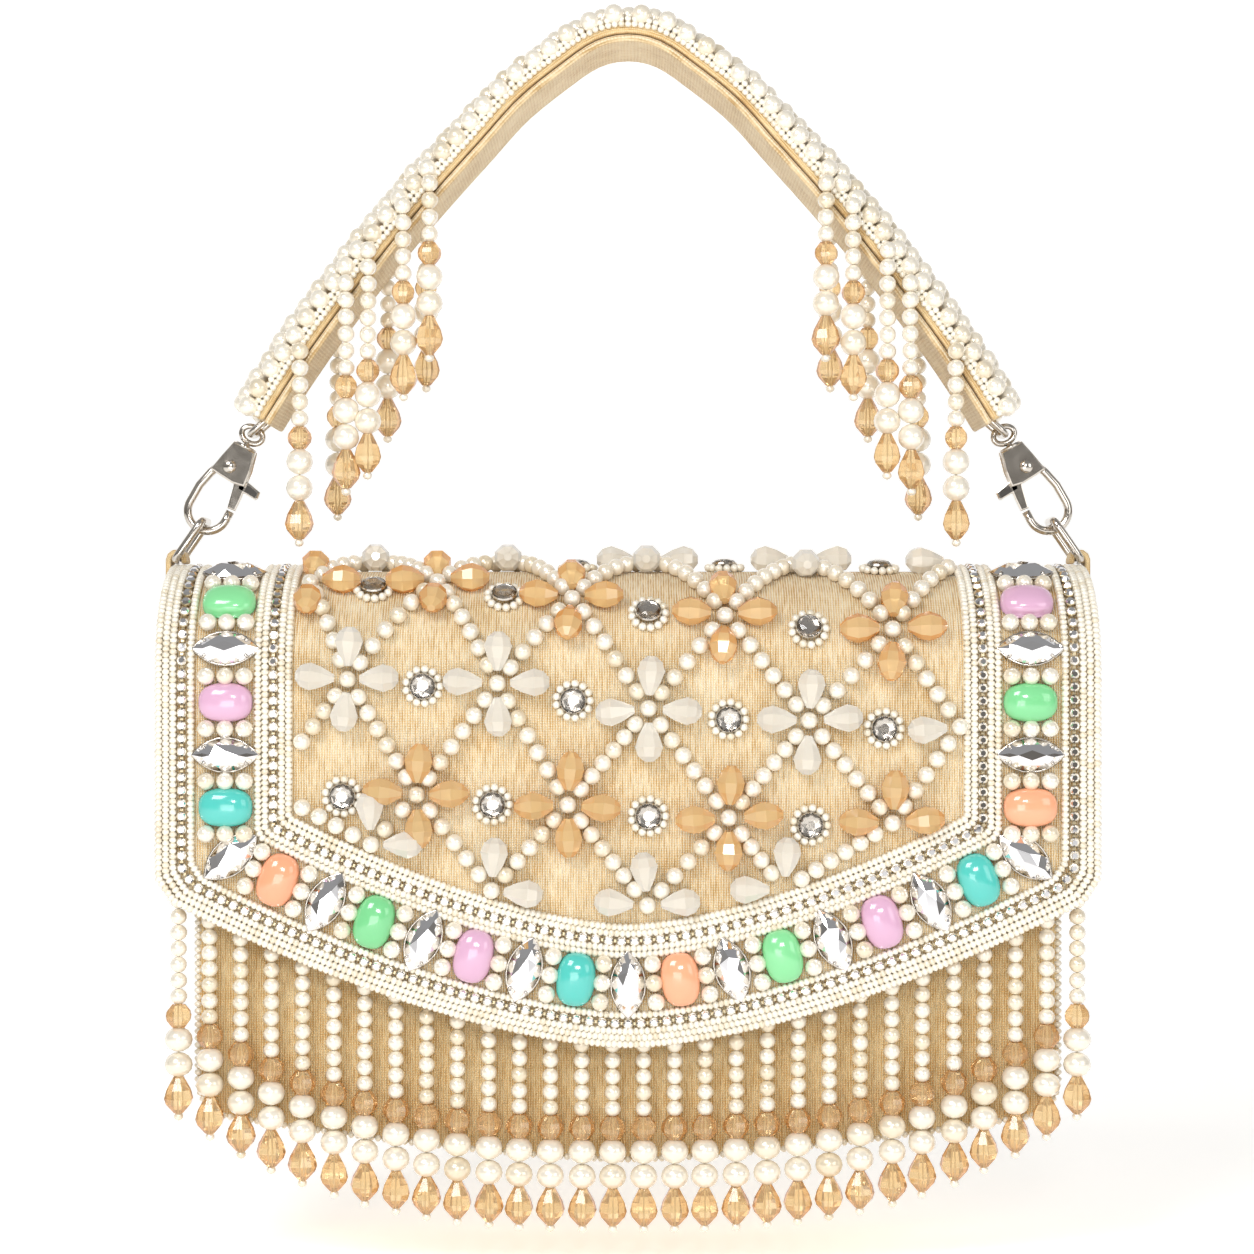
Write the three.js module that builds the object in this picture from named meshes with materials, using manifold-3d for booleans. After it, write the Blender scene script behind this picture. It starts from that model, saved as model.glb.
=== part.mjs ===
// Beaded flap clutch bag, hanging from the peak of its handle.
// Millimetres, +Z up, +X to the right and +Y to the back as the front is seen.
// The origin is the underside of the handle at its peak. Heights are given as drops below it.
import * as THREE from "three";
import { mergeVertices } from "three/addons/utils/BufferGeometryUtils.js";
import Module from "manifold-3d";

const wasm = await Module();
wasm.setup();

// Driving dimensions
const seat = 0.3; // clearance between pieces that touch

const body = {
  halfWidth: 104.5,
  halfDepth: 24,
  topHalfDepth: 23.4, // at the top of the flat walls, which draw in from the flap's rear hem up
  wall: 2.5,
  bottomDrop: 273,
  bottomRise: 11.5, // from the middle of the lower edge to its corners
  bottomBow: 1.5,
  cornerRadius: 9,
};

const flap = {
  halfWidth: body.halfWidth + 8.5, // it stands out beyond both ends of the body
  thick: 2.5,
  springDrop: 154, // where the flat front turns into the rounded crown
  crownRise: 24,
  tipDrop: 244.3,
  cornerRise: 36.6, // from the tip of the lower edge to its corners
  bow: 1.6, // power of the lower edge's curve
  cornerCut: 3.5,
  rearDrop: 188,
};

// The plain field inside the jewelled border
const field = { halfWidth: flap.halfWidth - 31.8, tipDrop: 215.7, cornerRise: 26.2, cornerCut: 0.5 };

// Places across the border, from 0 at the flap's edge to 1 at the field
const border = { outerFrom: 0.012, outerTo: 0.27, stones: 0.53, innerFrom: 0.79, innerTo: 1 };
const trimHeight = 1.3;

const stones = { pitch: 12.55, perHalf: 14 };
const cabochon = { width: 9.4, length: 12.9, height: 4.2, sides: 10 };
const marquise = { width: 8.2, length: 14, height: 4 };

const lattice = { pearl: 4.1, sides: 5, bendStep: 9, edgeGap: 1, rearEnd: 47 };

const bead = { small: 4.1, round: 6, pearl: 6.7, drop: 7.3, end: 2.7, sides: 10 };

const fringe = {
  count: 30,
  span: 2 * (flap.halfWidth - 4.8), // from the first string to the last
  space: 6.2, // room between the flap and the body
  tipDrop: 289.6,
  cornerRise: 27,
  bow: 2.8,
  tapeThick: 1.5,
  tapeLow: 3, // the tape's edges above the flap's lower edge
  tapeHigh: 11,
};

const handle = {
  halfSpan: 89.6,
  rise: 95.3, // from the slit's end up to its peak
  width: 28,
  lining: 1.7,
  slit: 0.4,
  band: 2.5,
  steps: 26,
};

const tassel = { tape: 1, firstShare: 0.49, lastShare: 0.93 };

const hook = {
  eyeSpan: 94.2, // from the bag's middle to the eye
  eyeDrop: 96.4,
  lean: THREE.MathUtils.degToRad(28),
  plateTop: 2.8,
  plateBottom: 11.7,
  topHalf: 3,
  shoulderHalf: 5,
  thick: 4.8,
  slotTop: 6.7,
  bowHalf: 6.1,
  bowShift: 0.9,
  bowBottom: 27.4,
  wire: 2.15,
  gateNose: 18.4,
  gateThick: 1.6,
  pivotShift: 1,
  pivotDrop: 8.9,
  rivet: 1.8,
  rivetHead: 3.4,
  hub: 2,
  wireSides: 5,
};

const eye = { width: 7, height: 5.6, wire: 1.5, lift: 0.6, stem: 1.6, head: 3, headHeight: 1.2, headDrop: 4.9 };
const strapRing = { wire: 1.7, width: 10, corner: 2.2, sides: 5 };
const sideRing = { wire: 2, width: 12, corner: 2, sides: 5 };
const tab = { width: 7, thick: 1.4, rootDrop: 165 };
const snap = { diameter: 14, drop: 214, sides: 16 };

// Sizes that follow from these
const flapFrontY = -(body.halfDepth + fringe.space + flap.thick);
const flapRearY = body.halfDepth + seat + flap.thick;
const crown = {
  y: (flapFrontY + flapRearY) / 2,
  z: -flap.springDrop,
  depth: (flapRearY - flapFrontY) / 2,
  rise: flap.crownRise,
};
const trimTop = crown.z + crown.rise + seat + trimHeight;
const wide = 4 * body.halfDepth; // more than the bag's depth, for prisms that cut right through it

// Materials
const finish = (color, roughness, metalness = 0) =>
  new THREE.MeshStandardMaterial({ color, roughness, metalness });
const silk = () => finish(0xe3cba0, 0.7);
const pearlWhite = () => finish(0xf5eedd, 0.25);
const nickel = () => finish(0xcfc8bf, 0.2, 1);
const pastels = [
  { name: "mint", color: 0x8fdda0 },
  { name: "lilac", color: 0xddb3cc },
  { name: "turquoise", color: 0x5cc7be },
  { name: "peach", color: 0xf5b08c },
];

// Solids from geometries and back
function solid(geometry) {
  const bare = new THREE.BufferGeometry().setAttribute(
    "position",
    (geometry.index ? geometry.toNonIndexed() : geometry).getAttribute("position"),
  );
  const merged = mergeVertices(bare, 1e-3);
  return new wasm.Manifold(
    new wasm.Mesh({
      numProp: 3,
      vertProperties: merged.getAttribute("position").array,
      triVerts: new Uint32Array(merged.index.array),
    }),
  );
}

function geometryOf(made) {
  const mesh = made.getMesh();
  const positions = new Float32Array(mesh.numVert * 3);
  for (let i = 0; i < mesh.numVert; i++) {
    const from = i * mesh.numProp;
    positions.set(mesh.vertProperties.subarray(from, from + 3), i * 3);
  }
  const geometry = new THREE.BufferGeometry()
    .setAttribute("position", new THREE.BufferAttribute(positions, 3))
    .setIndex(new THREE.BufferAttribute(new Uint32Array(mesh.triVerts), 1));
  geometry.computeVertexNormals();
  return geometry;
}

const joined = (solids) => solids.reduce((all, next) => all.add(next));

// Extrusions of a flat outline: drawn in X and Z and run along Y, or drawn in Y and Z and run along X
function alongY(shape, from, to, curveSegments = 12) {
  return new THREE.ExtrudeGeometry(shape, { depth: to - from, bevelEnabled: false, curveSegments })
    .rotateX(Math.PI / 2)
    .translate(0, to, 0);
}

function alongX(shape, from, to) {
  const turn = new THREE.Matrix4().makeBasis(
    new THREE.Vector3(0, 1, 0),
    new THREE.Vector3(0, 0, 1),
    new THREE.Vector3(1, 0, 0),
  );
  return new THREE.ExtrudeGeometry(shape, { depth: to - from, bevelEnabled: false })
    .applyMatrix4(turn)
    .translate(from, 0, 0);
}

// A bar of even section through points, with mitred corners. Each point has a normal square to the bar there.
function bar(points, normals, diameter, sides, closed) {
  const count = points.length;
  const positions = [];
  const index = [];
  points.forEach((point, i) => {
    const before = closed ? points[(i + count - 1) % count] : points[Math.max(i - 1, 0)];
    const after = closed ? points[(i + 1) % count] : points[Math.min(i + 1, count - 1)];
    const back = new THREE.Vector3().subVectors(point, before).normalize();
    const ahead = new THREE.Vector3().subVectors(after, point).normalize();
    const along = back.clone().add(ahead).normalize();
    const widen = 1 / Math.max(along.dot(back.lengthSq() ? back : ahead), 0.5);
    const out = new THREE.Vector3().crossVectors(along, normals[i]).normalize();
    for (let k = 0; k < sides; k++) {
      const angle = (2 * Math.PI * (k + 0.5)) / sides;
      const place = point
        .clone()
        .addScaledVector(out, widen * (diameter / 2) * Math.cos(angle))
        .addScaledVector(normals[i], (diameter / 2) * Math.sin(angle));
      positions.push(place.x, place.y, place.z);
      if (!closed && i === count - 1) continue;
      const next = (i + 1) % count;
      const a = i * sides + k;
      const b = i * sides + ((k + 1) % sides);
      const c = next * sides + k;
      const d = next * sides + ((k + 1) % sides);
      index.push(a, d, b, a, c, d);
    }
  });
  const last = (count - 1) * sides;
  for (let k = 1; !closed && k + 1 < sides; k++) {
    index.push(0, k, k + 1);
    index.push(last, last + k + 1, last + k);
  }
  const geometry = new THREE.BufferGeometry();
  geometry.setAttribute("position", new THREE.Float32BufferAttribute(positions, 3));
  geometry.setIndex(index);
  return geometry;
}

// A round piece about an upright axis, from rows of [radius, height]
function turned(rows, sides) {
  const profile = rows.map(([radius, height]) => new THREE.Vector2(radius, height));
  return new THREE.LatheGeometry(profile, sides).rotateX(Math.PI / 2);
}

// A closed surface through rings of points, each counterclockwise as seen from the last ring's side
function loft(rings) {
  const count = rings[0].length;
  const positions = rings.flat().flatMap((p) => [p.x, p.y, p.z]);
  const index = [];
  for (let ring = 0; ring + 1 < rings.length; ring++) {
    for (let i = 0; i < count; i++) {
      const a = ring * count + i;
      const b = ring * count + ((i + 1) % count);
      index.push(a, b, b + count, a, b + count, a + count);
    }
  }
  const last = (rings.length - 1) * count;
  for (let i = 1; i + 1 < count; i++) {
    index.push(0, i + 1, i);
    index.push(last, last + i, last + i + 1);
  }
  const geometry = new THREE.BufferGeometry();
  geometry.setAttribute("position", new THREE.Float32BufferAttribute(positions, 3));
  geometry.setIndex(index);
  geometry.computeVertexNormals();
  return geometry;
}

// The outline between two lines that run beside a path, at offsets to its left
function ribbon(path, low, high) {
  const side = (offset) =>
    path.map((point, i) => {
      const before = path[Math.max(i - 1, 0)];
      const after = path[Math.min(i + 1, path.length - 1)];
      const along = new THREE.Vector2().subVectors(after, before).normalize();
      return new THREE.Vector2(point.x - along.y * offset, point.y + along.x * offset);
    });
  return new THREE.Shape([...side(low), ...side(high).reverse()]);
}

// Flap surface
// A place on it is x across, s along (0 where the crown begins, negative down the front) and height above it.
function crownPoint(angle, height) {
  return new THREE.Vector2(
    crown.y - (crown.depth + height) * Math.cos(angle),
    crown.z + (crown.rise + height) * Math.sin(angle),
  );
}

const crownSamples = 90;
const crownLengths = [0];
for (let i = 1; i <= crownSamples; i++) {
  const here = crownPoint((Math.PI * i) / crownSamples, 0);
  const before = crownPoint((Math.PI * (i - 1)) / crownSamples, 0);
  crownLengths.push(crownLengths[i - 1] + here.distanceTo(before));
}
const crownLength = crownLengths[crownSamples];

function crownAngle(s) {
  const next = crownLengths.findIndex((length) => length >= s);
  const share = (s - crownLengths[next - 1]) / (crownLengths[next] - crownLengths[next - 1]);
  return (Math.PI * (next - 1 + share)) / crownSamples;
}

function onFlap(x, s, height) {
  if (s <= 0) return new THREE.Vector3(x, flapFrontY - height, crown.z + s);
  if (s >= crownLength) return new THREE.Vector3(x, flapRearY + height, crown.z - (s - crownLength));
  const { x: y, y: z } = crownPoint(crownAngle(s), height);
  return new THREE.Vector3(x, y, z);
}

// The flap's line from low on the front, over the crown and down to the rear hem, at a height above its surface
function flapLine(height, hem) {
  const crownSteps = 12;
  const line = [new THREE.Vector2(flapFrontY - height, -(flap.tipDrop + flap.cornerRise))];
  for (let i = 0; i <= crownSteps; i++) line.push(crownPoint((Math.PI * i) / crownSteps, height));
  line.push(new THREE.Vector2(flapRearY + height, -hem));
  return line;
}

function flapSheet(low, high, hem, halfWidth) {
  const outline = new THREE.Shape([...flapLine(high, hem), ...flapLine(low, hem).reverse()]);
  return solid(alongX(outline, -halfWidth, halfWidth));
}

// Border lines
// They run from 0 at the flap's edge to 1 at the field.
const across = (outer, inner, place) => outer + (inner - outer) * place;
const borderHalf = (place) => across(flap.halfWidth, field.halfWidth, place);

function borderLow(x, place) {
  const tip = across(flap.tipDrop, field.tipDrop, place);
  const rise = across(flap.cornerRise, field.cornerRise, place);
  return -tip + rise * (Math.abs(x) / borderHalf(place)) ** flap.bow;
}

// The U that a border line draws, from its left top down, along the lower edge and up its right side
function borderLine(place, cut) {
  const half = borderHalf(place);
  const top = trimTop + trimHeight;
  const lower = (x) => new THREE.Vector2(x, borderLow(x, place));
  const steps = 16;
  const reach = half - cut;
  const line = [new THREE.Vector2(-half, top), new THREE.Vector2(-half, borderLow(half, place) + cut)];
  for (let i = 0; i <= steps; i++) line.push(lower(reach * ((2 * i) / steps - 1)));
  line.push(new THREE.Vector2(half, borderLow(half, place) + cut), new THREE.Vector2(half, top));
  return line;
}

function borderRegion(outer, inner) {
  const cut = (place) => across(flap.cornerCut, field.cornerCut, place);
  return new THREE.Shape([...borderLine(outer, cut(outer)), ...borderLine(inner, cut(inner)).reverse()]);
}

const flapOutline = new THREE.Shape(borderLine(0, flap.cornerCut));

// The line on which the border's stones sit, by the distance along it from the tip
const stoneLine = [];
{
  const steps = 60;
  const half = borderHalf(border.stones);
  let length = 0;
  let before = null;
  for (let i = 0; i <= steps; i++) {
    const here = new THREE.Vector2((half * i) / steps, borderLow((half * i) / steps, border.stones) - crown.z);
    if (before) length += here.distanceTo(before);
    stoneLine.push({ length, here });
    before = here;
  }
}

function stonePlace(distance) {
  const side = Math.sign(distance) || 1;
  const far = Math.abs(distance);
  const corner = stoneLine[stoneLine.length - 1];
  if (far >= corner.length) {
    return new THREE.Vector2(side * corner.here.x, corner.here.y + far - corner.length);
  }
  const next = stoneLine.findIndex((row) => row.length > far);
  const [a, b] = [stoneLine[next - 1], stoneLine[next]];
  const place = a.here.clone().lerp(b.here, (far - a.length) / (b.length - a.length));
  return place.setX(side * place.x);
}

// The matrix that seats a stone at a distance along the border, long side across it
function stoneSeat(distance) {
  const place = stonePlace(distance);
  const along = stonePlace(distance + stones.pitch / 2).sub(stonePlace(distance - stones.pitch / 2)).normalize();
  const point = onFlap(place.x, place.y, seat);
  const up = onFlap(place.x, place.y + 1, 0).sub(onFlap(place.x, place.y - 1, 0)).normalize();
  const right = new THREE.Vector3(1, 0, 0);
  const width = right.clone().multiplyScalar(along.x).addScaledVector(up, along.y);
  const length = right.clone().multiplyScalar(-along.y).addScaledVector(up, along.x);
  const normal = new THREE.Vector3().crossVectors(right, up);
  return new THREE.Matrix4().makeBasis(width, length, normal).setPosition(point);
}

function cabochonGeometry() {
  const rows = [
    { height: 0, share: 1 },
    { height: 0.6, share: 0.93 },
    { height: 1, share: 0.5 },
  ];
  const squareness = 0.8; // below 1 the oval fills its corners more
  const rounded = (value) => Math.sign(value) * Math.abs(value) ** squareness;
  return loft(
    rows.map(({ height, share }) =>
      Array.from({ length: cabochon.sides }, (_, i) => {
        const angle = (2 * Math.PI * (i + 0.5)) / cabochon.sides;
        const x = (rounded(Math.cos(angle)) * share * cabochon.width) / 2;
        const y = (rounded(Math.sin(angle)) * share * cabochon.length) / 2;
        return new THREE.Vector3(x, y, height * cabochon.height);
      }),
    ),
  );
}

function marquiseGeometry() {
  const rows = [
    { height: 0, share: 0.8 },
    { height: 0.45, share: 1 },
    { height: 1, share: 0.55 },
  ];
  const ends = [0, 0.55, 1, 0.55, 0, -0.55, -1, -0.55]; // places along the length, round the pointed oval
  return loft(
    rows.map(({ height, share }) =>
      ends.map((end, i) => {
        const side = i > 2 && i < 6 ? -1 : 1;
        const half = (side * marquise.width * (1 - end * end)) / 2;
        return new THREE.Vector3(half * share, (end * share * marquise.length) / 2, height * marquise.height);
      }),
    ),
  );
}

// Pearl lattice
// Rows of crossings, from behind the crown down the front. Places across are shares of the field's half width,
// places along are shares of the field's height under the crown.
const fieldHeight = field.tipDrop - flap.springDrop;
const crossings = [
  { acrossShares: [-0.78, -0.37, 0.06, 0.53, 1.0], alongShares: [0.79, 0.78, 0.73, 0.66, 0.61] },
  {
    acrossShares: [-0.95, -0.57, -0.166, 0.287, 0.78, 1.23],
    alongShares: [0.39, 0.394, 0.29, 0.208, 0.151, 0.1],
  },
  { acrossShares: [-0.824, -0.384, 0.06, 0.532, 0.975], alongShares: [-0.037, -0.052, -0.149, -0.196, -0.22] },
  {
    acrossShares: [-1.06, -0.621, -0.177, 0.296, 0.777, 1.21],
    alongShares: [-0.46, -0.483, -0.522, -0.572, -0.593, -0.62],
  },
  { acrossShares: [-0.755, -0.401, 0.057, 0.458], alongShares: [-0.675, -0.853, -0.911, -0.849] },
].map(({ acrossShares, alongShares }) =>
  acrossShares.map((share, i) => new THREE.Vector2(share * field.halfWidth, alongShares[i] * fieldHeight)),
);

function inField({ x, y: s }) {
  const margin = lattice.pearl / 2 + lattice.edgeGap;
  const inside = Math.abs(x) < field.halfWidth - margin;
  return inside && crown.z + s > borderLow(x, 1) + margin && s < lattice.rearEnd;
}

// A string runs from a crossing on one row to one on each row below, always to the same hand
function stringFrom(row, index, toRight) {
  const line = [];
  while (crossings[row] && crossings[row][index]) {
    line.push(crossings[row][index]);
    const fromWide = row % 2 === 1;
    if (toRight && !fromWide) index += 1;
    if (!toRight && fromWide) index -= 1;
    row += 1;
  }
  return line;
}

// Places along a string: its crossings, more where it bends over the crown, and only what lies in the field
function placesOn(line) {
  const places = [];
  for (let leg = 0; leg + 1 < line.length; leg++) {
    const [from, to] = [line[leg], line[leg + 1]];
    const trials = 48;
    const inside = [];
    for (let i = 0; i <= trials; i++) {
      const place = from.clone().lerp(to, i / trials);
      if (inField(place)) inside.push(place);
    }
    if (inside.length < 2) continue;
    const [start, end] = [inside[0], inside[inside.length - 1]];
    const bent = Math.max(start.y, end.y) > 0;
    const steps = bent ? Math.ceil(start.distanceTo(end) / lattice.bendStep) : 1;
    for (let i = places.length ? 1 : 0; i <= steps; i++) places.push(start.clone().lerp(end, i / steps));
  }
  return places;
}

function latticeString(places) {
  const height = 1.5 * seat + lattice.pearl / 2;
  const points = places.map((place) => onFlap(place.x, place.y, height));
  const normals = places.map((place, i) => onFlap(place.x, place.y, height + 1).sub(points[i]).normalize());
  return solid(bar(points, normals, lattice.pearl, lattice.sides, false));
}

function pearlLattice() {
  const lines = [];
  crossings[0].forEach((_, i) => lines.push(stringFrom(0, i, true), stringFrom(0, i, false)));
  lines.push(stringFrom(1, 0, true), stringFrom(1, crossings[1].length - 1, false));
  const strings = lines.map(placesOn).filter((places) => places.length > 1);
  return geometryOf(joined(strings.map(latticeString)));
}

// Bead strings
// Each hangs straight down from its top to its end bead.
function beadString(top, end) {
  const dropEnd = bead.end * 0.6;
  const dropLength = 1.2 * bead.drop;
  const secondPearl = dropEnd + dropLength + bead.pearl * 1.34;
  const round = secondPearl + (bead.pearl + bead.round) * 0.46;
  const rows = [
    [0, 0],
    [bead.drop / 2, dropEnd + dropLength * 0.36],
    [bead.pearl / 2, secondPearl],
    [bead.small / 2, round + bead.round * 0.5],
    [bead.small / 2, top.z - end],
    [0, top.z - end],
  ];
  return solid(turned(rows, bead.sides).translate(top.x, top.y, end));
}

const fringeAxisY = -(body.halfDepth + seat + bead.pearl / 2 + 0.2);

function flapFringe() {
  const tapeBack = flapFrontY + flap.thick + seat;
  const parts = [];
  const edge = [];
  const half = fringe.span / 2;
  const steps = 24;
  for (let i = 0; i <= steps; i++) {
    const x = (half + bead.small / 2) * ((2 * i) / steps - 1);
    edge.push(new THREE.Vector2(x, borderLow(x, 0)));
  }
  const lift = (rise) => edge.map((point) => new THREE.Vector2(point.x, point.y + rise));
  const tape = new THREE.Shape([...lift(fringe.tapeLow), ...lift(fringe.tapeHigh).reverse()]);
  parts.push(solid(alongY(tape, tapeBack, tapeBack + fringe.tapeThick)));
  for (let i = 0; i < fringe.count; i++) {
    const x = -half + (fringe.span * i) / (fringe.count - 1);
    const end = -fringe.tipDrop + fringe.cornerRise * Math.abs(x / half) ** fringe.bow;
    const top = new THREE.Vector3(x, fringeAxisY, borderLow(x, 0) + (fringe.tapeLow + fringe.tapeHigh) / 2);
    parts.push(beadString(top, end));
  }
  return geometryOf(joined(parts));
}

// Handle
// Its slit runs between the two layers. Places are shares of the half span and of the rise, from the peak out.
const slitTop = handle.lining + handle.slit / 2;
const slitRows = [
  { out: 0, down: 0 },
  { out: 0.09, down: 0.018 },
  { out: 0.185, down: 0.078 },
  { out: 0.3, down: 0.166 },
  { out: 0.405, down: 0.275 },
  { out: 0.515, down: 0.39 },
  { out: 0.625, down: 0.51 },
  { out: 0.735, down: 0.64 },
  { out: 0.85, down: 0.785 },
  { out: 0.94, down: 0.91 },
  { out: 1, down: 1 },
];
const slitPoint = (side) => (row) =>
  new THREE.Vector2(side * row.out * handle.halfSpan, slitTop - row.down * handle.rise);
const slitCurve = new THREE.SplineCurve([
  ...slitRows.slice(1).reverse().map(slitPoint(-1)),
  ...slitRows.map(slitPoint(1)),
]);
const slitPath = slitCurve.getSpacedPoints(handle.steps);

// The slit's height at a distance from the bag's middle
function slitHeight(x) {
  const next = slitPath.findIndex((point) => point.x > x);
  const [a, b] = [slitPath[next - 1], slitPath[next]];
  return a.y + ((b.y - a.y) * (x - a.x)) / (b.x - a.x);
}

const layer = (low, high) => solid(alongY(ribbon(slitPath, low, high), -handle.width / 2, handle.width / 2));

// Hardware on the left: a ring between two bars that both run along Y
function ringBetween(upper, lower, { wire, width, corner, sides }, extra = 0) {
  const half = width / 2;
  const long = upper.distanceTo(lower);
  const down = new THREE.Vector2().subVectors(lower, upper).normalize();
  const at = (y, t) => new THREE.Vector3(upper.x + down.x * t, y, upper.y + down.y * t);
  const points = [];
  const quarter = (y, t, from) => {
    for (let i = 0; i <= 2; i++) {
      const angle = from + (Math.PI / 4) * i;
      points.push(at(y + corner * Math.cos(angle), t + corner * Math.sin(angle)));
    }
  };
  quarter(half - corner, long - corner, 0);
  quarter(-half + corner, long - corner, Math.PI / 2);
  quarter(-half + corner, corner, Math.PI);
  quarter(half - corner, corner, Math.PI * 1.5);
  const normal = new THREE.Vector3(-down.y, 0, down.x);
  return solid(bar(points, points.map(() => normal), wire + 2 * extra, sides, true));
}

// From the hook's own frame (x inwards, z up its long axis) to the bag's
const fromHook = (x, z) =>
  new THREE.Vector2(
    -hook.eyeSpan + x * Math.cos(hook.lean) + z * Math.sin(hook.lean),
    -hook.eyeDrop - x * Math.sin(hook.lean) + z * Math.cos(hook.lean),
  );

const bowRadius = hook.bowHalf - hook.wire / 2;
const bowCentreZ = -(hook.bowBottom - hook.bowHalf);
const linkBars = {
  eye: fromHook(0, eye.lift),
  slit: slitPath[1].clone().lerp(slitPath[0], 0.3),
  bow: fromHook(-hook.bowShift / 3, -(hook.bowBottom - hook.wire - seat - sideRing.wire / 2)),
  tab: new THREE.Vector2(-(flap.halfWidth - 0.6), trimTop + seat + sideRing.wire / 2),
};

function box(x0, x1, y0, y1, z0, z1) {
  return solid(
    new THREE.BoxGeometry(x1 - x0, y1 - y0, z1 - z0).translate((x0 + x1) / 2, (y0 + y1) / 2, (z0 + z1) / 2),
  );
}

function disc(x, z, radius, from, to, sides = 10) {
  return solid(
    new THREE.CylinderGeometry(radius, radius, to - from, sides).translate(x, (from + to) / 2, z),
  );
}

const flat = (pairs) => new THREE.Shape(pairs.map(([x, z]) => new THREE.Vector2(x, z)));

function hookFrame() {
  const half = hook.thick / 2;
  const plate = flat([
    [-hook.topHalf, -hook.plateTop],
    [-hook.shoulderHalf, -hook.plateBottom],
    [-hook.shoulderHalf * 0.5, -hook.plateBottom - seat],
    [hook.shoulderHalf * 0.3, -hook.plateBottom - 2 * seat],
    [hook.shoulderHalf * 0.92, -hook.plateBottom],
    [hook.topHalf, -hook.plateTop],
  ]);
  const bow = [
    new THREE.Vector3(-hook.shoulderHalf * 0.8, 0, -hook.plateBottom + 1),
    new THREE.Vector3(-hook.bowShift - bowRadius * 0.9, 0, (bowCentreZ - hook.plateBottom) / 2),
  ];
  for (let i = 0; i <= 8; i++) {
    const angle = Math.PI + (Math.PI * i) / 8;
    const x = -hook.bowShift + bowRadius * Math.cos(angle);
    bow.push(new THREE.Vector3(x, 0, bowCentreZ + bowRadius * Math.sin(angle)));
  }
  bow.push(new THREE.Vector3(-hook.bowShift + bowRadius, 0, -hook.gateNose - 1.3 * seat));
  const slotHalf = hook.gateThick / 2 + seat;
  const slotFrom = -(hook.pivotShift + hook.hub + seat);
  const slot = box(slotFrom, wide, -slotHalf, slotHalf, -wide, -hook.slotTop);
  const bore = turned(
    [
      [0, -hook.slotTop - 1],
      [eye.head / 2 + seat, -hook.slotTop - 1],
      [eye.head / 2 + seat, -eye.headDrop + seat],
      [eye.stem / 2 + seat, -eye.headDrop + seat],
      [eye.stem / 2 + seat, 0],
      [0, 0],
    ],
    12,
  );
  const cheeks = solid(alongY(plate, -half, half)).subtract(slot).subtract(solid(bore));
  const rivet = disc(-hook.pivotShift, -hook.pivotDrop, hook.rivet / 2, -half, half);
  const heads = [-1, 1].map((side) => {
    const outer = side * (half + 0.5);
    const inner = side * (half - 0.5);
    const [from, to] = [Math.min(outer, inner), Math.max(outer, inner)];
    return disc(-hook.pivotShift, -hook.pivotDrop, hook.rivetHead / 2, from, to);
  });
  const normal = new THREE.Vector3(0, 1, 0);
  const wire = solid(bar(bow, bow.map(() => normal), hook.wire, hook.wireSides, false));
  return geometryOf(joined([cheeks, rivet, ...heads, wire]));
}

function hookGate() {
  const half = hook.gateThick / 2;
  const nose = -hook.gateNose;
  const noseX = -hook.bowShift + bowRadius;
  const armOut = hook.shoulderHalf - 0.2;
  const [inner, outer] = [noseX - hook.wire / 2, noseX + hook.wire / 2];
  const noseReach = Math.hypot(inner + hook.pivotShift, hook.gateNose - hook.pivotDrop);
  const outerNose = -hook.pivotDrop - Math.sqrt(noseReach ** 2 - (outer + hook.pivotShift) ** 2);
  const arm = flat([
    [-hook.pivotShift - 0.5, -hook.pivotDrop - hook.hub * 0.8],
    [inner, nose],
    [outer, outerNose],
    [armOut, -hook.plateBottom],
    [hook.pivotShift, -hook.pivotDrop + hook.hub * 0.8],
  ]);
  const lever = flat([
    [hook.shoulderHalf * 0.5, -hook.plateBottom + 1.9],
    [hook.shoulderHalf * 0.6, -hook.plateBottom - 1.4],
    [hook.shoulderHalf * 1.75, -hook.plateBottom - 1.7],
    [hook.shoulderHalf * 1.72, -hook.plateBottom + 0.6],
  ]);
  const hub = disc(-hook.pivotShift, -hook.pivotDrop, hook.hub, -half, half);
  const hole = disc(-hook.pivotShift, -hook.pivotDrop, hook.rivet / 2 + seat, -wide, wide);
  const parts = [hub, solid(alongY(arm, -half, half)), solid(alongY(lever, -half, half))];
  return geometryOf(joined(parts).subtract(hole));
}

function swivelEye() {
  const corner = eye.height / 2 - eye.wire / 2;
  const half = eye.width / 2 - eye.wire / 2;
  const points = [];
  for (let i = 0; i < 10; i++) {
    const angle = (2 * Math.PI * i) / 10;
    points.push(new THREE.Vector3(half * Math.cos(angle), 0, eye.lift + corner * Math.sin(angle)));
  }
  const normal = new THREE.Vector3(0, 1, 0);
  const loop = solid(bar(points, points.map(() => normal), eye.wire, hook.wireSides, true));
  const stem = turned(
    [
      [0, -eye.headDrop - eye.headHeight],
      [eye.head / 2, -eye.headDrop - eye.headHeight],
      [eye.head / 2, -eye.headDrop],
      [eye.stem / 2, -eye.headDrop],
      [eye.stem / 2, eye.lift - corner],
      [0, eye.lift - corner],
    ],
    12,
  );
  return geometryOf(joined([loop, solid(stem)]));
}

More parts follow.
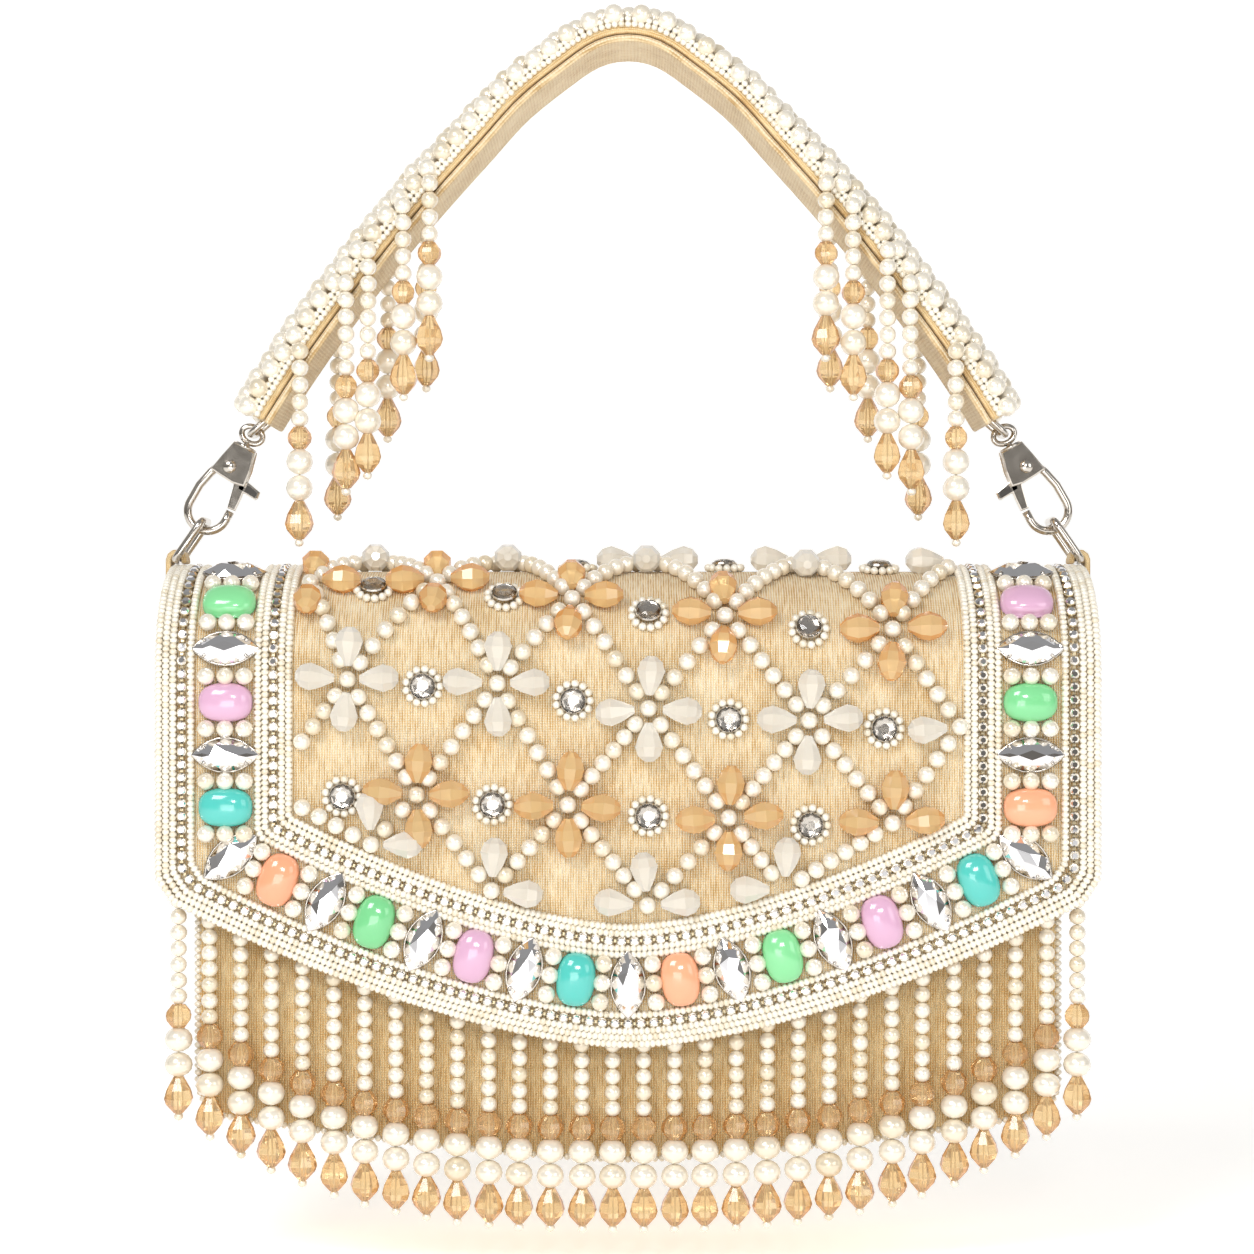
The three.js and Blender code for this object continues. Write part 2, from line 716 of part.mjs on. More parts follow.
// The tab runs from the gusset out under the flap, up beside its edge, round the ring's bar and onto the crown
function sideTab() {
  const reach = sideRing.wire / 2 + seat + tab.thick / 2;
  const { x: barX, y: barZ } = linkBars.tab;
  const outX = barX - reach;
  const rootX = -(body.halfWidth + seat + tab.thick / 2);
  const path = [
    new THREE.Vector2(rootX, -tab.rootDrop),
    new THREE.Vector2(rootX, -tab.rootDrop + 6),
    new THREE.Vector2((rootX + outX) / 2, -tab.rootDrop + 12),
    new THREE.Vector2(outX, -tab.rootDrop + 18),
    new THREE.Vector2(outX, barZ),
  ];
  for (let i = 1; i <= 5; i++) {
    const angle = Math.PI - (Math.PI * i) / 6;
    path.push(new THREE.Vector2(barX + reach * Math.cos(angle), barZ + reach * Math.sin(angle)));
  }
  path.push(new THREE.Vector2(barX + reach, trimTop + seat));
  const shape = ribbon(path, -tab.thick / 2, tab.thick / 2);
  return alongY(shape, -tab.width / 2, tab.width / 2);
}

// Tassels of the handle: strings that hang beside its front and rear flanks.
// Places are shares of the handle's half span, ends are shares of its rise.
const tasselRows = {
  front: [
    { out: 0.525, endShare: 0.829 },
    { out: 0.598, endShare: 0.93 },
    { out: 0.692, endShare: 1.131 },
    { out: 0.753, endShare: 1.172 },
    { out: 0.877, endShare: 1.303 },
  ],
  rear: [
    { out: 0.56, endShare: 0.881 },
    { out: 0.666, endShare: 1.016 },
    { out: 0.81, endShare: 1.225 },
  ],
};

function tasselFringe(rows, side) {
  const flank = handle.width / 2 + seat;
  const tapePath = slitPath.filter(
    (point) => point.x < -tassel.firstShare * handle.halfSpan && point.x > -tassel.lastShare * handle.halfSpan,
  );
  const low = handle.slit / 2;
  const faces = [side * flank, side * (flank + tassel.tape)].sort((a, b) => a - b);
  const parts = [solid(alongY(ribbon(tapePath, low, low + handle.band), ...faces))];
  for (const { out, endShare } of rows) {
    const x = -out * handle.halfSpan;
    const top = new THREE.Vector3(x, side * (flank + bead.small / 2), slitHeight(x) + handle.band);
    parts.push(beadString(top, -endShare * handle.rise));
  }
  return geometryOf(joined(parts));
}

function bagShell() {
  const base = -body.bottomDrop - body.wall;
  const bend = -flap.rearDrop - seat;
  const side = [new THREE.Vector2(-body.halfDepth, base), new THREE.Vector2(-body.halfDepth, bend)];
  const archRise = crown.rise - flap.thick - 5 * seat;
  for (let i = 0; i <= 12; i++) {
    const angle = (Math.PI * i) / 12;
    side.push(new THREE.Vector2(-body.topHalfDepth * Math.cos(angle), crown.z + archRise * Math.sin(angle)));
  }
  side.push(new THREE.Vector2(body.halfDepth, bend), new THREE.Vector2(body.halfDepth, base));
  const outline = (inset) => {
    const half = body.halfWidth - inset;
    const corner = body.cornerRadius;
    const low = (x) => -body.bottomDrop + inset + body.bottomRise * (Math.abs(x) / half) ** body.bottomBow;
    const shape = new THREE.Shape();
    shape.moveTo(-half, 0);
    shape.lineTo(-half, low(half) + corner);
    shape.quadraticCurveTo(-half, low(half), -half + corner, low(half - corner));
    for (let i = 1; i <= 12; i++) {
      const x = (half - corner) * (i / 6 - 1);
      shape.lineTo(x, low(x));
    }
    shape.quadraticCurveTo(half, low(half), half, low(half) + corner);
    shape.lineTo(half, 0);
    return shape;
  };
  const inner = body.topHalfDepth - body.wall;
  return geometryOf(
    solid(alongX(new THREE.Shape(side), -body.halfWidth, body.halfWidth))
      .intersect(solid(alongY(outline(0), -wide, wide, 4)))
      .subtract(solid(alongY(outline(body.wall), -inner, inner, 4))),
  );
}

// Assembly
const bag = new THREE.Group();
function add(name, geometry, material, parent = bag) {
  const mesh = new THREE.Mesh(geometry, material);
  mesh.name = name;
  parent.add(mesh);
  return mesh;
}

add("bag_shell", bagShell(), silk());
const wholeFlap = flapSheet(-flap.thick, 0, flap.rearDrop, flap.halfWidth);
add("flap", geometryOf(wholeFlap.intersect(solid(alongY(flapOutline, -wide, wide)))), silk());

for (const [name, outer, inner] of [
  ["outer_trim", border.outerFrom, border.outerTo],
  ["inner_trim", border.innerFrom, border.innerTo],
]) {
  const raised = flapSheet(seat, seat + trimHeight, flap.rearDrop, flap.halfWidth);
  add(name, geometryOf(raised.intersect(solid(alongY(borderRegion(outer, inner), -wide, wide)))), pearlWhite());
}

add("pearl_lattice", pearlLattice(), pearlWhite());

let cabochons = 0;
let marquises = 0;
for (let place = -stones.perHalf; place <= stones.perHalf; place++) {
  const at = stoneSeat(place * stones.pitch);
  if (place % 2 === 0) {
    marquises += 1;
    add("marquise_" + marquises, marquiseGeometry().applyMatrix4(at), finish(0xe8e8ea, 0.05, 0.3));
  } else {
    const pastel = pastels[cabochons % pastels.length];
    cabochons += 1;
    const stone = add("cabochon_" + cabochons, cabochonGeometry().applyMatrix4(at), finish(pastel.color, 0.2));
    stone.material.name = pastel.name;
  }
}

add("flap_fringe", flapFringe(), pearlWhite());
const snapFrom = flapFrontY + flap.thick + seat;
add(
  "magnet_snap",
  geometryOf(disc(0, -snap.drop, snap.diameter / 2, snapFrom, -body.halfDepth - seat, snap.sides)),
  nickel(),
);

// The ring's channel is cut from both layers of the handle, on both sides
const mirror = new THREE.Matrix4().makeScale(-1, 1, 1);
const channel = ringBetween(linkBars.slit, linkBars.eye, strapRing, seat);
const channelGeometry = geometryOf(channel);
const otherChannel = channelGeometry.clone().applyMatrix4(mirror);
otherChannel.index.array.reverse();
const channels = channel.add(solid(otherChannel));
const layers = [
  { name: "handle_band", low: handle.slit / 2, high: handle.slit / 2 + handle.band },
  { name: "handle_lining", low: -handle.slit / 2 - handle.lining, high: -handle.slit / 2 },
];
for (const { name, low, high } of layers) {
  add(name, geometryOf(layer(low, high).subtract(channels)), silk());
}

for (const [label, mirrored] of [
  ["left", 1],
  ["right", -1],
]) {
  const side = new THREE.Group();
  side.scale.x = mirrored;
  bag.add(side);
  const hanging = new THREE.Group();
  hanging.position.set(-hook.eyeSpan, 0, -hook.eyeDrop);
  hanging.rotation.y = hook.lean;
  side.add(hanging);
  add("hook_frame_" + label, hookFrame(), nickel(), hanging);
  add("hook_gate_" + label, hookGate(), nickel(), hanging);
  add("swivel_eye_" + label, swivelEye(), nickel(), hanging);
  add("strap_ring_" + label, geometryOf(ringBetween(linkBars.slit, linkBars.eye, strapRing)), nickel(), side);
  add("side_ring_" + label, geometryOf(ringBetween(linkBars.bow, linkBars.tab, sideRing)), nickel(), side);
  add("side_tab_" + label, sideTab(), silk(), side);
  add("handle_fringe_" + label + "_front", tasselFringe(tasselRows.front, -1), pearlWhite(), side);
  add("handle_fringe_" + label + "_rear", tasselFringe(tasselRows.rear, 1), pearlWhite(), side);
}

export default bag;
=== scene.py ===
"""Beaded flap clutch bag: its finished surfaces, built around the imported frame.

The frame holds the bag at its real size in metres, with +X to the right, +Y to the back and +Z up, hung from
the underside of its handle's peak at the origin. Sizes here are in millimetres and become metres where a mesh
is written. Cloth is drawn flat first, and a place on the flap is x across and s along it, where s is 0 at the
line on which the flat front turns into the rounded crown, and negative below it.
"""

from __future__ import annotations

import logging
import math
import random
from dataclasses import dataclass
from enum import Enum
from functools import cached_property
from typing import Callable, Iterable, Sequence

import bmesh
import bpy
import numpy as np
from mathutils import Matrix, Vector

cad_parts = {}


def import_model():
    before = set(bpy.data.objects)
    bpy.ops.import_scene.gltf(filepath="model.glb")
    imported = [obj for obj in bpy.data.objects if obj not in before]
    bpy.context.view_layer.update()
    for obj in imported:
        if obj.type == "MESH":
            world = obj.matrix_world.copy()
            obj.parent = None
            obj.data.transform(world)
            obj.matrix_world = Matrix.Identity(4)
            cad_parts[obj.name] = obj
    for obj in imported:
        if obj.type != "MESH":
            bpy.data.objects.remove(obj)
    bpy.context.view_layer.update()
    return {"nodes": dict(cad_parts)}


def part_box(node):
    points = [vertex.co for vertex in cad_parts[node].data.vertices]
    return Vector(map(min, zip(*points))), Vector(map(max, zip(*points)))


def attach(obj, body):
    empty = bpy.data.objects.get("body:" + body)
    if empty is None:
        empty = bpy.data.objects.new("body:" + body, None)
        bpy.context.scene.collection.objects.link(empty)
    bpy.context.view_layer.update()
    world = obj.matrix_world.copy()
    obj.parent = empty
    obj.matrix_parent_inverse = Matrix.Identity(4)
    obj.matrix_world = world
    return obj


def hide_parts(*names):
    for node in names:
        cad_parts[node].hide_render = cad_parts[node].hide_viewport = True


LOG = logging.getLogger("clutch")
MM = 0.001
BAG = "bag"  # the body that most pieces ride on
CLOTH_UV = "cloth"
TINT = "bead_tint"
ON_SIDE = Matrix.Rotation(math.pi / 2, 4, "Y")  # lays a bead's hole along X

Stops = Sequence[tuple[float, str]]
Place = tuple[float, float]


def linear(code: str) -> tuple[float, float, float, float]:
    """Turn an sRGB hex colour into linear RGBA.

    Args:
        code: the colour, such as "#E3CBA0".

    Returns:
        Red, green, blue and an alpha of 1, in linear light.
    """
    parts = [int(code[i : i + 2], 16) / 255 for i in (1, 3, 5)]
    light = [c / 12.92 if c <= 0.04045 else ((c + 0.055) / 1.055) ** 2.4 for c in parts]
    return (*light, 1.0)


def add_node(
    tree: bpy.types.NodeTree,
    kind: str,
    links: dict[str | int, bpy.types.NodeSocket] | None = None,
    stops: Stops = (),
    **settings: object,
) -> bpy.types.Node:
    """Add one shader node.

    Args:
        tree: the tree it goes into.
        kind: its type, without the ShaderNode that each begins with.
        links: the output that feeds each input, by the input's name or index.
        stops: places and colours, for a colour ramp.
        settings: its own properties, or else its inputs' values, with _ for a blank.

    Returns:
        The new node.
    """
    made = tree.nodes.new("ShaderNode" + kind)
    for name, value in settings.items():
        if hasattr(made, name):
            setattr(made, name, value)
        else:
            made.inputs[name.replace("_", " ")].default_value = value
    for i, (place, colour) in enumerate(stops):
        elements = made.color_ramp.elements
        stop = elements[i] if i < len(elements) else elements.new(place)
        stop.position = place
        stop.color = linear(colour)
    for name, socket in (links or {}).items():
        tree.links.new(socket, made.inputs[name])
    return made


# Finishes
@dataclass(frozen=True)
class Finish:
    """A material of one colour, named for what it is. The kinds of finish add their own surface to it."""

    name: str
    colour: str
    roughness: float = 0.4
    slot: str | None = None

    def material(self) -> bpy.types.Material:
        """Return the material, made the first time that it is asked for."""
        known = bpy.data.materials.get(self.name)
        if known:
            return known
        made = bpy.data.materials.new(self.name)
        made.use_nodes = True
        tree = made.node_tree
        shader = tree.nodes["Principled BSDF"]
        shader.inputs["Base Color"].default_value = linear(self.colour)
        shader.inputs["Roughness"].default_value = self.roughness
        made.diffuse_color = linear(self.colour)
        self.dress(tree, shader.inputs)
        return made

    def dress(self, tree: bpy.types.NodeTree, inputs: bpy.types.NodeInputs) -> None:
        """Add what this kind of finish shows.

        Args:
            tree: the material's tree.
            inputs: the sockets of its shader.
        """

    def vary_gloss(
        self, tree: bpy.types.NodeTree, inputs: bpy.types.NodeInputs, patch: float, detail: float, span: Place
    ) -> None:
        """Let the roughness vary in soft patches.

        Args:
            tree: the material's tree.
            inputs: the sockets of its shader.
            patch: width of a patch, in millimetres.
            detail: how many finer layers it has.
            span: its least and greatest share of the finish's own roughness.
        """
        place = add_node(tree, "TexCoord").outputs["Object"]
        noise = add_node(tree, "TexNoise", {"Vector": place}, Scale=1 / (patch * MM), Detail=detail)
        least, greatest = (self.roughness * share for share in span)
        rough = add_node(
            tree, "MapRange", {"Value": noise.outputs["Fac"]}, To_Min=least, To_Max=greatest
        )
        tree.links.new(rough.outputs["Result"], inputs["Roughness"])


@dataclass(frozen=True)
class Lacquered(Finish):
    """Imitation pearl and seed glass: a core under clear lacquer, each bead a shade apart from the next."""

    deep: str = "#EBDDC2"
    coat: float = 0.8
    grain: float = 1.4  # millimetres across the faint mottling of the lacquer
    lustre: float = 0.0  # share of fine metal flake in the lacquer

    def dress(self, tree: bpy.types.NodeTree, inputs: bpy.types.NodeInputs) -> None:
        """Tint each bead by its own attribute, and mottle and coat it."""
        tint = add_node(tree, "Attribute", attribute_name=TINT)
        stops = [(0.0, self.deep), (0.35, self.colour), (1.0, self.colour)]
        shade = add_node(tree, "ValToRGB", {"Fac": tint.outputs["Fac"]}, stops)
        tree.links.new(shade.outputs["Color"], inputs["Base Color"])
        self.vary_gloss(tree, inputs, self.grain, 2.0, (0.93, 1.07))
        inputs["Metallic"].default_value = self.lustre
        inputs["Coat Weight"].default_value = self.coat
        inputs["Coat Roughness"].default_value = 0.05


@dataclass(frozen=True)
class CutGlass(Finish):
    """Machine-cut glass bead: clear body, sharp flat facets, and painted rim shading: a colour that deepens on the
    facets seen at a low angle.
    """

    index: float = 1.62
    clear: float = 0.6
    rim: str = "#E59A44"

    def dress(self, tree: bpy.types.NodeTree, inputs: bpy.types.NodeInputs) -> None:
        """Let part of the light through, and paint the facets that turn away in the rim colour, as painted rim
        shading.
        """
        inputs["Transmission Weight"].default_value = self.clear
        inputs["IOR"].default_value = self.index
        # Painted rim shading: facets turned away from the view take the rim colour. On amber glass it is a deeper
        # amber that stands in for light passing through more glass; on clear glass it is a white rim, a painted
        # reflection.
        turned_away = add_node(tree, "LayerWeight", Blend=0.35)
        stops = [(0.15, self.colour), (0.75, self.rim)]
        painted_rim_tint = add_node(tree, "ValToRGB", {"Fac": turned_away.outputs["Facing"]}, stops)
        tree.links.new(painted_rim_tint.outputs["Color"], inputs["Base Color"])
        self.vary_gloss(tree, inputs, 3.0, 1.0, (0.0, 2.0))


@dataclass(frozen=True)
class Plated(Finish):
    """Metal with a thin plated skin: nearly mirror bright, with fine polishing haze."""

    haze: float = 2.5  # millimetres across a patch of haze

    def dress(self, tree: bpy.types.NodeTree, inputs: bpy.types.NodeInputs) -> None:
        """Make it metal, and let its gloss vary in soft patches."""
        inputs["Metallic"].default_value = 1.0
        self.vary_gloss(tree, inputs, self.haze, 3.0, (0.6, 1.6))


@dataclass(frozen=True)
class WovenSilk(Finish):
    """Dupion silk in plain weave, from slubbed yarn: fine ribs, thick threads and a soft sheen.

    The real threads lie 0.35 mm apart, too fine to show, so the weave is drawn at nearly twice that.
    """

    shade: str = "#C9A66B"
    light: str = "#F1DDB5"
    thread: float = 0.62
    slub: tuple[float, float] = (5.0, 0.8)  # length and width of a thick thread, in millimetres
    relief: float = 0.16  # millimetres

    def dress(self, tree: bpy.types.NodeTree, inputs: bpy.types.NodeInputs) -> None:
        """Draw ribs, cross threads and slubs in the cloth's own flat millimetres, coloured by their height as
        painted highlight and painted shade.
        """
        flat = add_node(tree, "UVMap", uv_map=CLOTH_UV).outputs["UV"]
        raised = self.maths(tree, "ADD", self.weave(tree, flat), self.slubs(tree, flat))
        fade = add_node(tree, "TexNoise", {"Vector": flat}, Scale=0.07, Detail=2.0)
        tone = self.maths(tree, "ADD", raised, fade.outputs["Fac"])
        share = add_node(tree, "MapRange", {"Value": tone}, From_Min=0.7, From_Max=1.9)
        # The colour follows the weave's height. Ribs, threads and slubs that stand high are lighter, a painted
        # highlight, and the gaps between them are darker, painted shade. The slow fade adds the cloth's own uneven
        # tone.
        stops = [(0.0, self.shade), (0.42, self.colour), (1.0, self.light)]
        colour = add_node(tree, "ValToRGB", {"Fac": share.outputs["Result"]}, stops)
        bump = add_node(tree, "Bump", {"Height": raised}, Strength=0.8, Distance=self.relief * MM)
        tree.links.new(colour.outputs["Color"], inputs["Base Color"])
        tree.links.new(bump.outputs["Normal"], inputs["Normal"])
        inputs["Sheen Weight"].default_value = 0.25
        inputs["Sheen Roughness"].default_value = 0.4

    def weave(self, tree: bpy.types.NodeTree, flat: bpy.types.NodeSocket) -> bpy.types.NodeSocket:
        """Cross two sets of bands, the ribs stronger than the threads between them."""
        wave_unit = 0.314  # period of Blender's bands at scale 1
        ribs, threads = (
            add_node(
                tree,
                "TexWave",
                {"Vector": flat},
                bands_direction=direction,
                Scale=wave_unit / self.thread,
                Distortion=1.2,
                Detail=1.0,
                Detail_Scale=0.4,
            ).outputs["Fac"]
            for direction in ("X", "Y")
        )
        return self.maths(tree, "MULTIPLY", ribs, self.maths(tree, "ADD", threads, 0.5))

    def slubs(self, tree: bpy.types.NodeTree, flat: bpy.types.NodeSocket) -> bpy.types.NodeSocket:
        """Thicken stretches of the upright yarn."""
        long, wide = self.slub
        stretched = add_node(tree, "Mapping", {"Vector": flat}, Scale=(1 / wide, 1 / long, 1))
        noise = add_node(
            tree, "TexNoise", {"Vector": stretched.outputs["Vector"]}, Scale=1.0, Detail=3.0, Roughness=0.6
        )
        thick = add_node(
            tree, "MapRange", {"Value": noise.outputs["Fac"]}, From_Min=0.3, From_Max=0.7, To_Max=0.7
        )
        return thick.outputs["Result"]

    @staticmethod
    def maths(
        tree: bpy.types.NodeTree, operation: str, first: bpy.types.NodeSocket, second: bpy.types.NodeSocket | float
    ) -> bpy.types.NodeSocket:
        """Work out a value from two others.

        Args:
            tree: the material's tree.
            operation: what to do with them.
            first: one of them.
            second: the other, or a number.

        Returns:
            The result.
        """
        made = add_node(tree, "Math", {0: first}, operation=operation)
        if isinstance(second, float):
            made.inputs[1].default_value = second
        else:
            tree.links.new(second, made.inputs[1])
        return made.outputs["Value"]


class Finishes:
    """Every finish on the bag. Colours are read off the object and matched under this script's own light."""

    # Champagne silk of the flap: slubbed, pale where the light catches the ribs
    SILK = WovenSilk(
        "dupion_silk", "#F4D9A8", 0.6, "silk", shade="#CC9E5C", light="#FFF4DC", relief=0.3
    )
    # Painted shade: the same silk as the flap, made a deeper and warmer gold for the body, which lies in the shade
    # of the flap and the strings
    SILK_PAINTED_SHADE = WovenSilk(
        "dupion_silk_painted_shade", "#F2D095", 0.6, "silk", shade="#D0A05C", light="#FFEBC0", relief=0.3
    )
    # Ribbed tape under the handle: coarser and duller than the silk
    BROCADE = WovenSilk(
        "woven_brocade_tape",
        "#E6CDA2",
        0.7,
        "brocade",
        shade="#BC9863",
        light="#F8E8C8",
        thread=0.9,
        relief=0.2,
    )
    # Silk folded tight round the handle, the tabs and the fringe's tape: finer and glossier
    CORD = WovenSilk(
        "silk_piping", "#E6C68E", 0.55, "silk", shade="#C69B5C", light="#F3DCAF", thread=0.5
    )
    # Cream pearls with a metallic glow under a wet-looking coat
    PEARL = Lacquered("imitation_pearl", "#F8F0E0", 0.26, "pearl", coat=1.0, lustre=0.3)
    # Seed beads: paler and flatter than the pearls
    SEED = Lacquered(
        "ivory_seed_glass", "#F8F2E4", 0.28, "pearl", deep="#E9DDC4", grain=0.6, lustre=0.15
    )
    # Opaque pastel cabochons with a sharp window highlight
    MINT = Lacquered("mint_glass", "#86DB98", 0.16, "mint", deep="#78CF8C", grain=3)
    LILAC = Lacquered("lilac_glass", "#DCAECB", 0.16, "lilac", deep="#D09DBD", grain=3)
    TURQUOISE = Lacquered("turquoise_glass", "#52C6BB", 0.16, "turquoise", deep="#45B4AB", grain=3)
    PEACH = Lacquered("peach_glass", "#F6AE86", 0.16, "peach", deep="#EFA079", grain=3)
    # Petals and drops: pale in the middle, with painted rim shading of warm amber where a facet turns away
    AMBER = CutGlass("amber_cut_glass", "#FFDCA0", 0.01, "crystal", clear=0.5, rim="#FB9A22")
    CHAMPAGNE = CutGlass(
        "pale_champagne_cut_glass", "#FDDFAB", 0.01, "crystal", clear=0.72, rim="#F29C3C"
    )
    # Clear petals: their white rim is a painted reflection on the facets that turn away
    CLEAR = CutGlass("clear_cut_glass", "#FFF8EA", 0.01, "crystal", clear=0.38, rim="#FFFFFF")
    CRYSTAL = CutGlass("crystal_rhinestone", "#FFFFFF", 0.0, "crystal", clear=1.0, rim="#FFFFFF")
    # Mirror backing that gives the stones their hard black and white glitter
    FOIL = Plated("mirror_foil", "#F4F3F5", 0.02, "crystal")
    # Cups of the chains: dull between their bright stones
    BRASS = Plated("worn_brass_cup", "#C9BB9C", 0.28)
    # Hooks and rings: warm silver with clear reflections
    NICKEL = Plated("polished_nickel", "#CFC8BF", 0.13, "nickel")
    ENAMEL = Finish("dark_enamel", "#3A3530", 0.35)
    THREAD = Finish("cotton_thread", "#EFE3CC", 0.8)


# Shapes
def to_metres(shape: bmesh.types.BMesh) -> None:
    """Scale a shape from millimetres."""
    bmesh.ops.scale(shape, vec=(MM, MM, MM), verts=shape.verts)


def smooth(shape: bmesh.types.BMesh) -> bmesh.types.BMesh:
    """Shade every face smooth and return the shape."""
    for face in shape.faces:
        face.smooth = True
    return shape


def painted(shape: bmesh.types.BMesh, number: int) -> bmesh.types.BMesh:
    """Give every face of a shape one finish number and return the shape."""
    for face in shape.faces:
        face.material_index = number
    return shape


def spun(shape: bmesh.types.BMesh, degrees: float, axis: str) -> bmesh.types.BMesh:
    """Turn a shape about an axis through the origin and return it."""
    turn = Matrix.Rotation(math.radians(degrees), 3, axis)
    bmesh.ops.rotate(shape, cent=(0, 0, 0), matrix=turn, verts=shape.verts)
    return shape


def block(length: float, width: float, height: float) -> bmesh.types.BMesh:
    """Make a box round the origin from its sizes along X, Y and Z."""
    shape = bmesh.new()
    bmesh.ops.create_cube(shape, size=1)
    bmesh.ops.scale(shape, vec=(length, width, height), verts=shape.verts)
    return shape


def rounded(
    shape: bmesh.types.BMesh, edges: Sequence[bmesh.types.BMEdge], radius: float, steps: int
) -> bmesh.types.BMesh:
    """Round some edges of a shape in a number of steps and return the shape."""
    bmesh.ops.bevel(
        shape,
        geom=edges,
        offset=radius,
        offset_type="OFFSET",
        affect="EDGES",
        segments=steps,
        profile=0.5,
        material=-1,
    )
    return shape


def ball(width: float, height: float, around: int = 12, rings: int = 8) -> bmesh.types.BMesh:
    """Make a round or flattened bead with its hole's axis along Z.

    Args:
        width: its diameter.
        height: its length along the hole.
        around: faces round it.
        rings: faces from pole to pole.

    Returns:
        The shape, in millimetres.
    """
    shape = bmesh.new()
    bmesh.ops.create_uvsphere(shape, u_segments=around, v_segments=rings, radius=0.5)
    bmesh.ops.scale(shape, vec=(width, width, height), verts=shape.verts)
    return smooth(shape)


def turned(profile: Sequence[Place], sides: int) -> bmesh.types.BMesh:
    """Turn a profile about Z.

    Args:
        profile: radius and height of each point, from the lower end up.
        sides: flat sides round it.

    Returns:
        A closed shape with flat faces.
    """
    shape = bmesh.new()
    points = [shape.verts.new((radius, 0, height)) for radius, height in profile]
    edges = [shape.edges.new(pair) for pair in zip(points, points[1:])]
    bmesh.ops.spin(
        shape,
        geom=points + edges,
        cent=(0, 0, 0),
        axis=(0, 0, 1),
        angle=math.tau,
        steps=sides,
        use_merge=True,
    )
    bmesh.ops.remove_doubles(shape, verts=shape.verts, dist=1e-4)
    bmesh.ops.holes_fill(shape, edges=shape.edges, sides=sides)
    bmesh.ops.recalc_face_normals(shape, faces=shape.faces)
    return shape


def gem(rings: Sequence[Sequence[Sequence[float]]], foil_below: float) -> bmesh.types.BMesh:
    """Cut a stone as the hull of its rings of corners.

    Args:
        rings: corner points of the girdle, the crown, the table and the point.
        foil_below: faces whose middle lies below this height take the second finish.

    Returns:
        A closed stone with flat facets.
    """
    shape = bmesh.new()
    for corner in (point for ring in rings for point in ring):
        shape.verts.new(corner)
    hull = bmesh.ops.convex_hull(shape, input=shape.verts)
    spare = [item for item in hull["geom_interior"] if isinstance(item, bmesh.types.BMVert)]
    bmesh.ops.delete(shape, geom=spare, context="VERTS")
    bmesh.ops.recalc_face_normals(shape, faces=shape.faces)
    for face in shape.faces:
        face.material_index = int(face.calc_center_median().z < foil_below)
    return shape


def ring_of(count: int, across: float, along: float, height: float, turn: float = 0.0) -> list[Vector]:
    """Return count points on a level oval, starting at an angle in turns of one step."""
    angles = [math.tau * (i + turn) / count for i in range(count)]
    return [Vector((across / 2 * math.cos(a), along / 2 * math.sin(a), height)) for a in angles]


def wire(points: Sequence[Vector], diameter: float, closed: bool, around: int = 8) -> bmesh.types.BMesh:
    """Sweep a round wire through points.

    Args:
        points: its centre line, in millimetres.
        diameter: its thickness.
        closed: whether it joins up into a ring.
        around: sides of its section.

    Returns:
        The wire, shaded smooth.
    """
    curve = bpy.data.curves.new("wire", "CURVE")
    curve.dimensions = "3D"
    curve.bevel_depth = diameter / 2
    curve.bevel_resolution = (around - 4) // 2
    curve.use_fill_caps = True
    spline = curve.splines.new("POLY")
    spline.points.add(len(points) - 1)
    for knot, point in zip(spline.points, points):
        knot.co = (*point, 1)
    spline.use_cyclic_u = closed
    carrier = bpy.data.objects.new("wire", curve)
    shape = bmesh.new()
    shape.from_mesh(carrier.to_mesh())
    carrier.to_mesh_clear()
    bpy.data.objects.remove(carrier)
    bpy.data.curves.remove(curve)
    bmesh.ops.remove_doubles(shape, verts=shape.verts, dist=1e-4)
    bmesh.ops.recalc_face_normals(shape, faces=shape.faces)
    return smooth(shape)


def plate(outline: Sequence[Place], thick: float, edge: float) -> bmesh.types.BMesh:
    """Stamp a plate from an outline in X and Z, centred on Y, with rounded edges.

    Args:
        outline: its corners.
        thick: its thickness.
        edge: radius of its rounded rims.

    Returns:
        The plate, shaded flat.
    """
    shape = bmesh.new()
    face = shape.faces.new([shape.verts.new((x, -thick / 2, z)) for x, z in outline])
    grown = bmesh.ops.extrude_face_region(shape, geom=[face])["geom"]
    moved = [item for item in grown if isinstance(item, bmesh.types.BMVert)]
    bmesh.ops.translate(shape, vec=(0, thick, 0), verts=moved)
    bmesh.ops.recalc_face_normals(shape, faces=shape.faces)
    rims = [rim for rim in shape.edges if rim.verts[0].co.y * rim.verts[1].co.y > 0]
    return rounded(shape, rims, edge, 2)


def crease(shape: bmesh.types.BMesh, axis: int, low: float, high: float, step: float) -> None:
    """Cut a shape across one axis at even steps, so that it can bend there."""
    count = int((high - low) / step)
    for i in range(1, count):
        place = [0.0, 0.0, 0.0]
        place[axis] = low + (high - low) * i / count
        normal = [float(axis == n) for n in range(3)]
        geom = shape.verts[:] + shape.edges[:] + shape.faces[:]
        bmesh.ops.bisect_plane(shape, geom=geom, plane_co=place, plane_no=normal, dist=1e-4)


def lay_flat(shape: bmesh.types.BMesh, flat: Callable[[Vector], Place]) -> None:
    """Give each corner of a cloth its flat place in millimetres, for its weave."""
    layer = shape.loops.layers.uv.new(CLOTH_UV)
    for face in shape.faces:
        for corner in face.loops:
            corner[layer].uv = flat(corner.vert.co)


def written(name: str, shape: bmesh.types.BMesh) -> bpy.types.Mesh:
    """Write a shape as a mesh of that name and free it."""
    mesh = bpy.data.meshes.new(name)
    shape.to_mesh(mesh)
    shape.free()
    return mesh


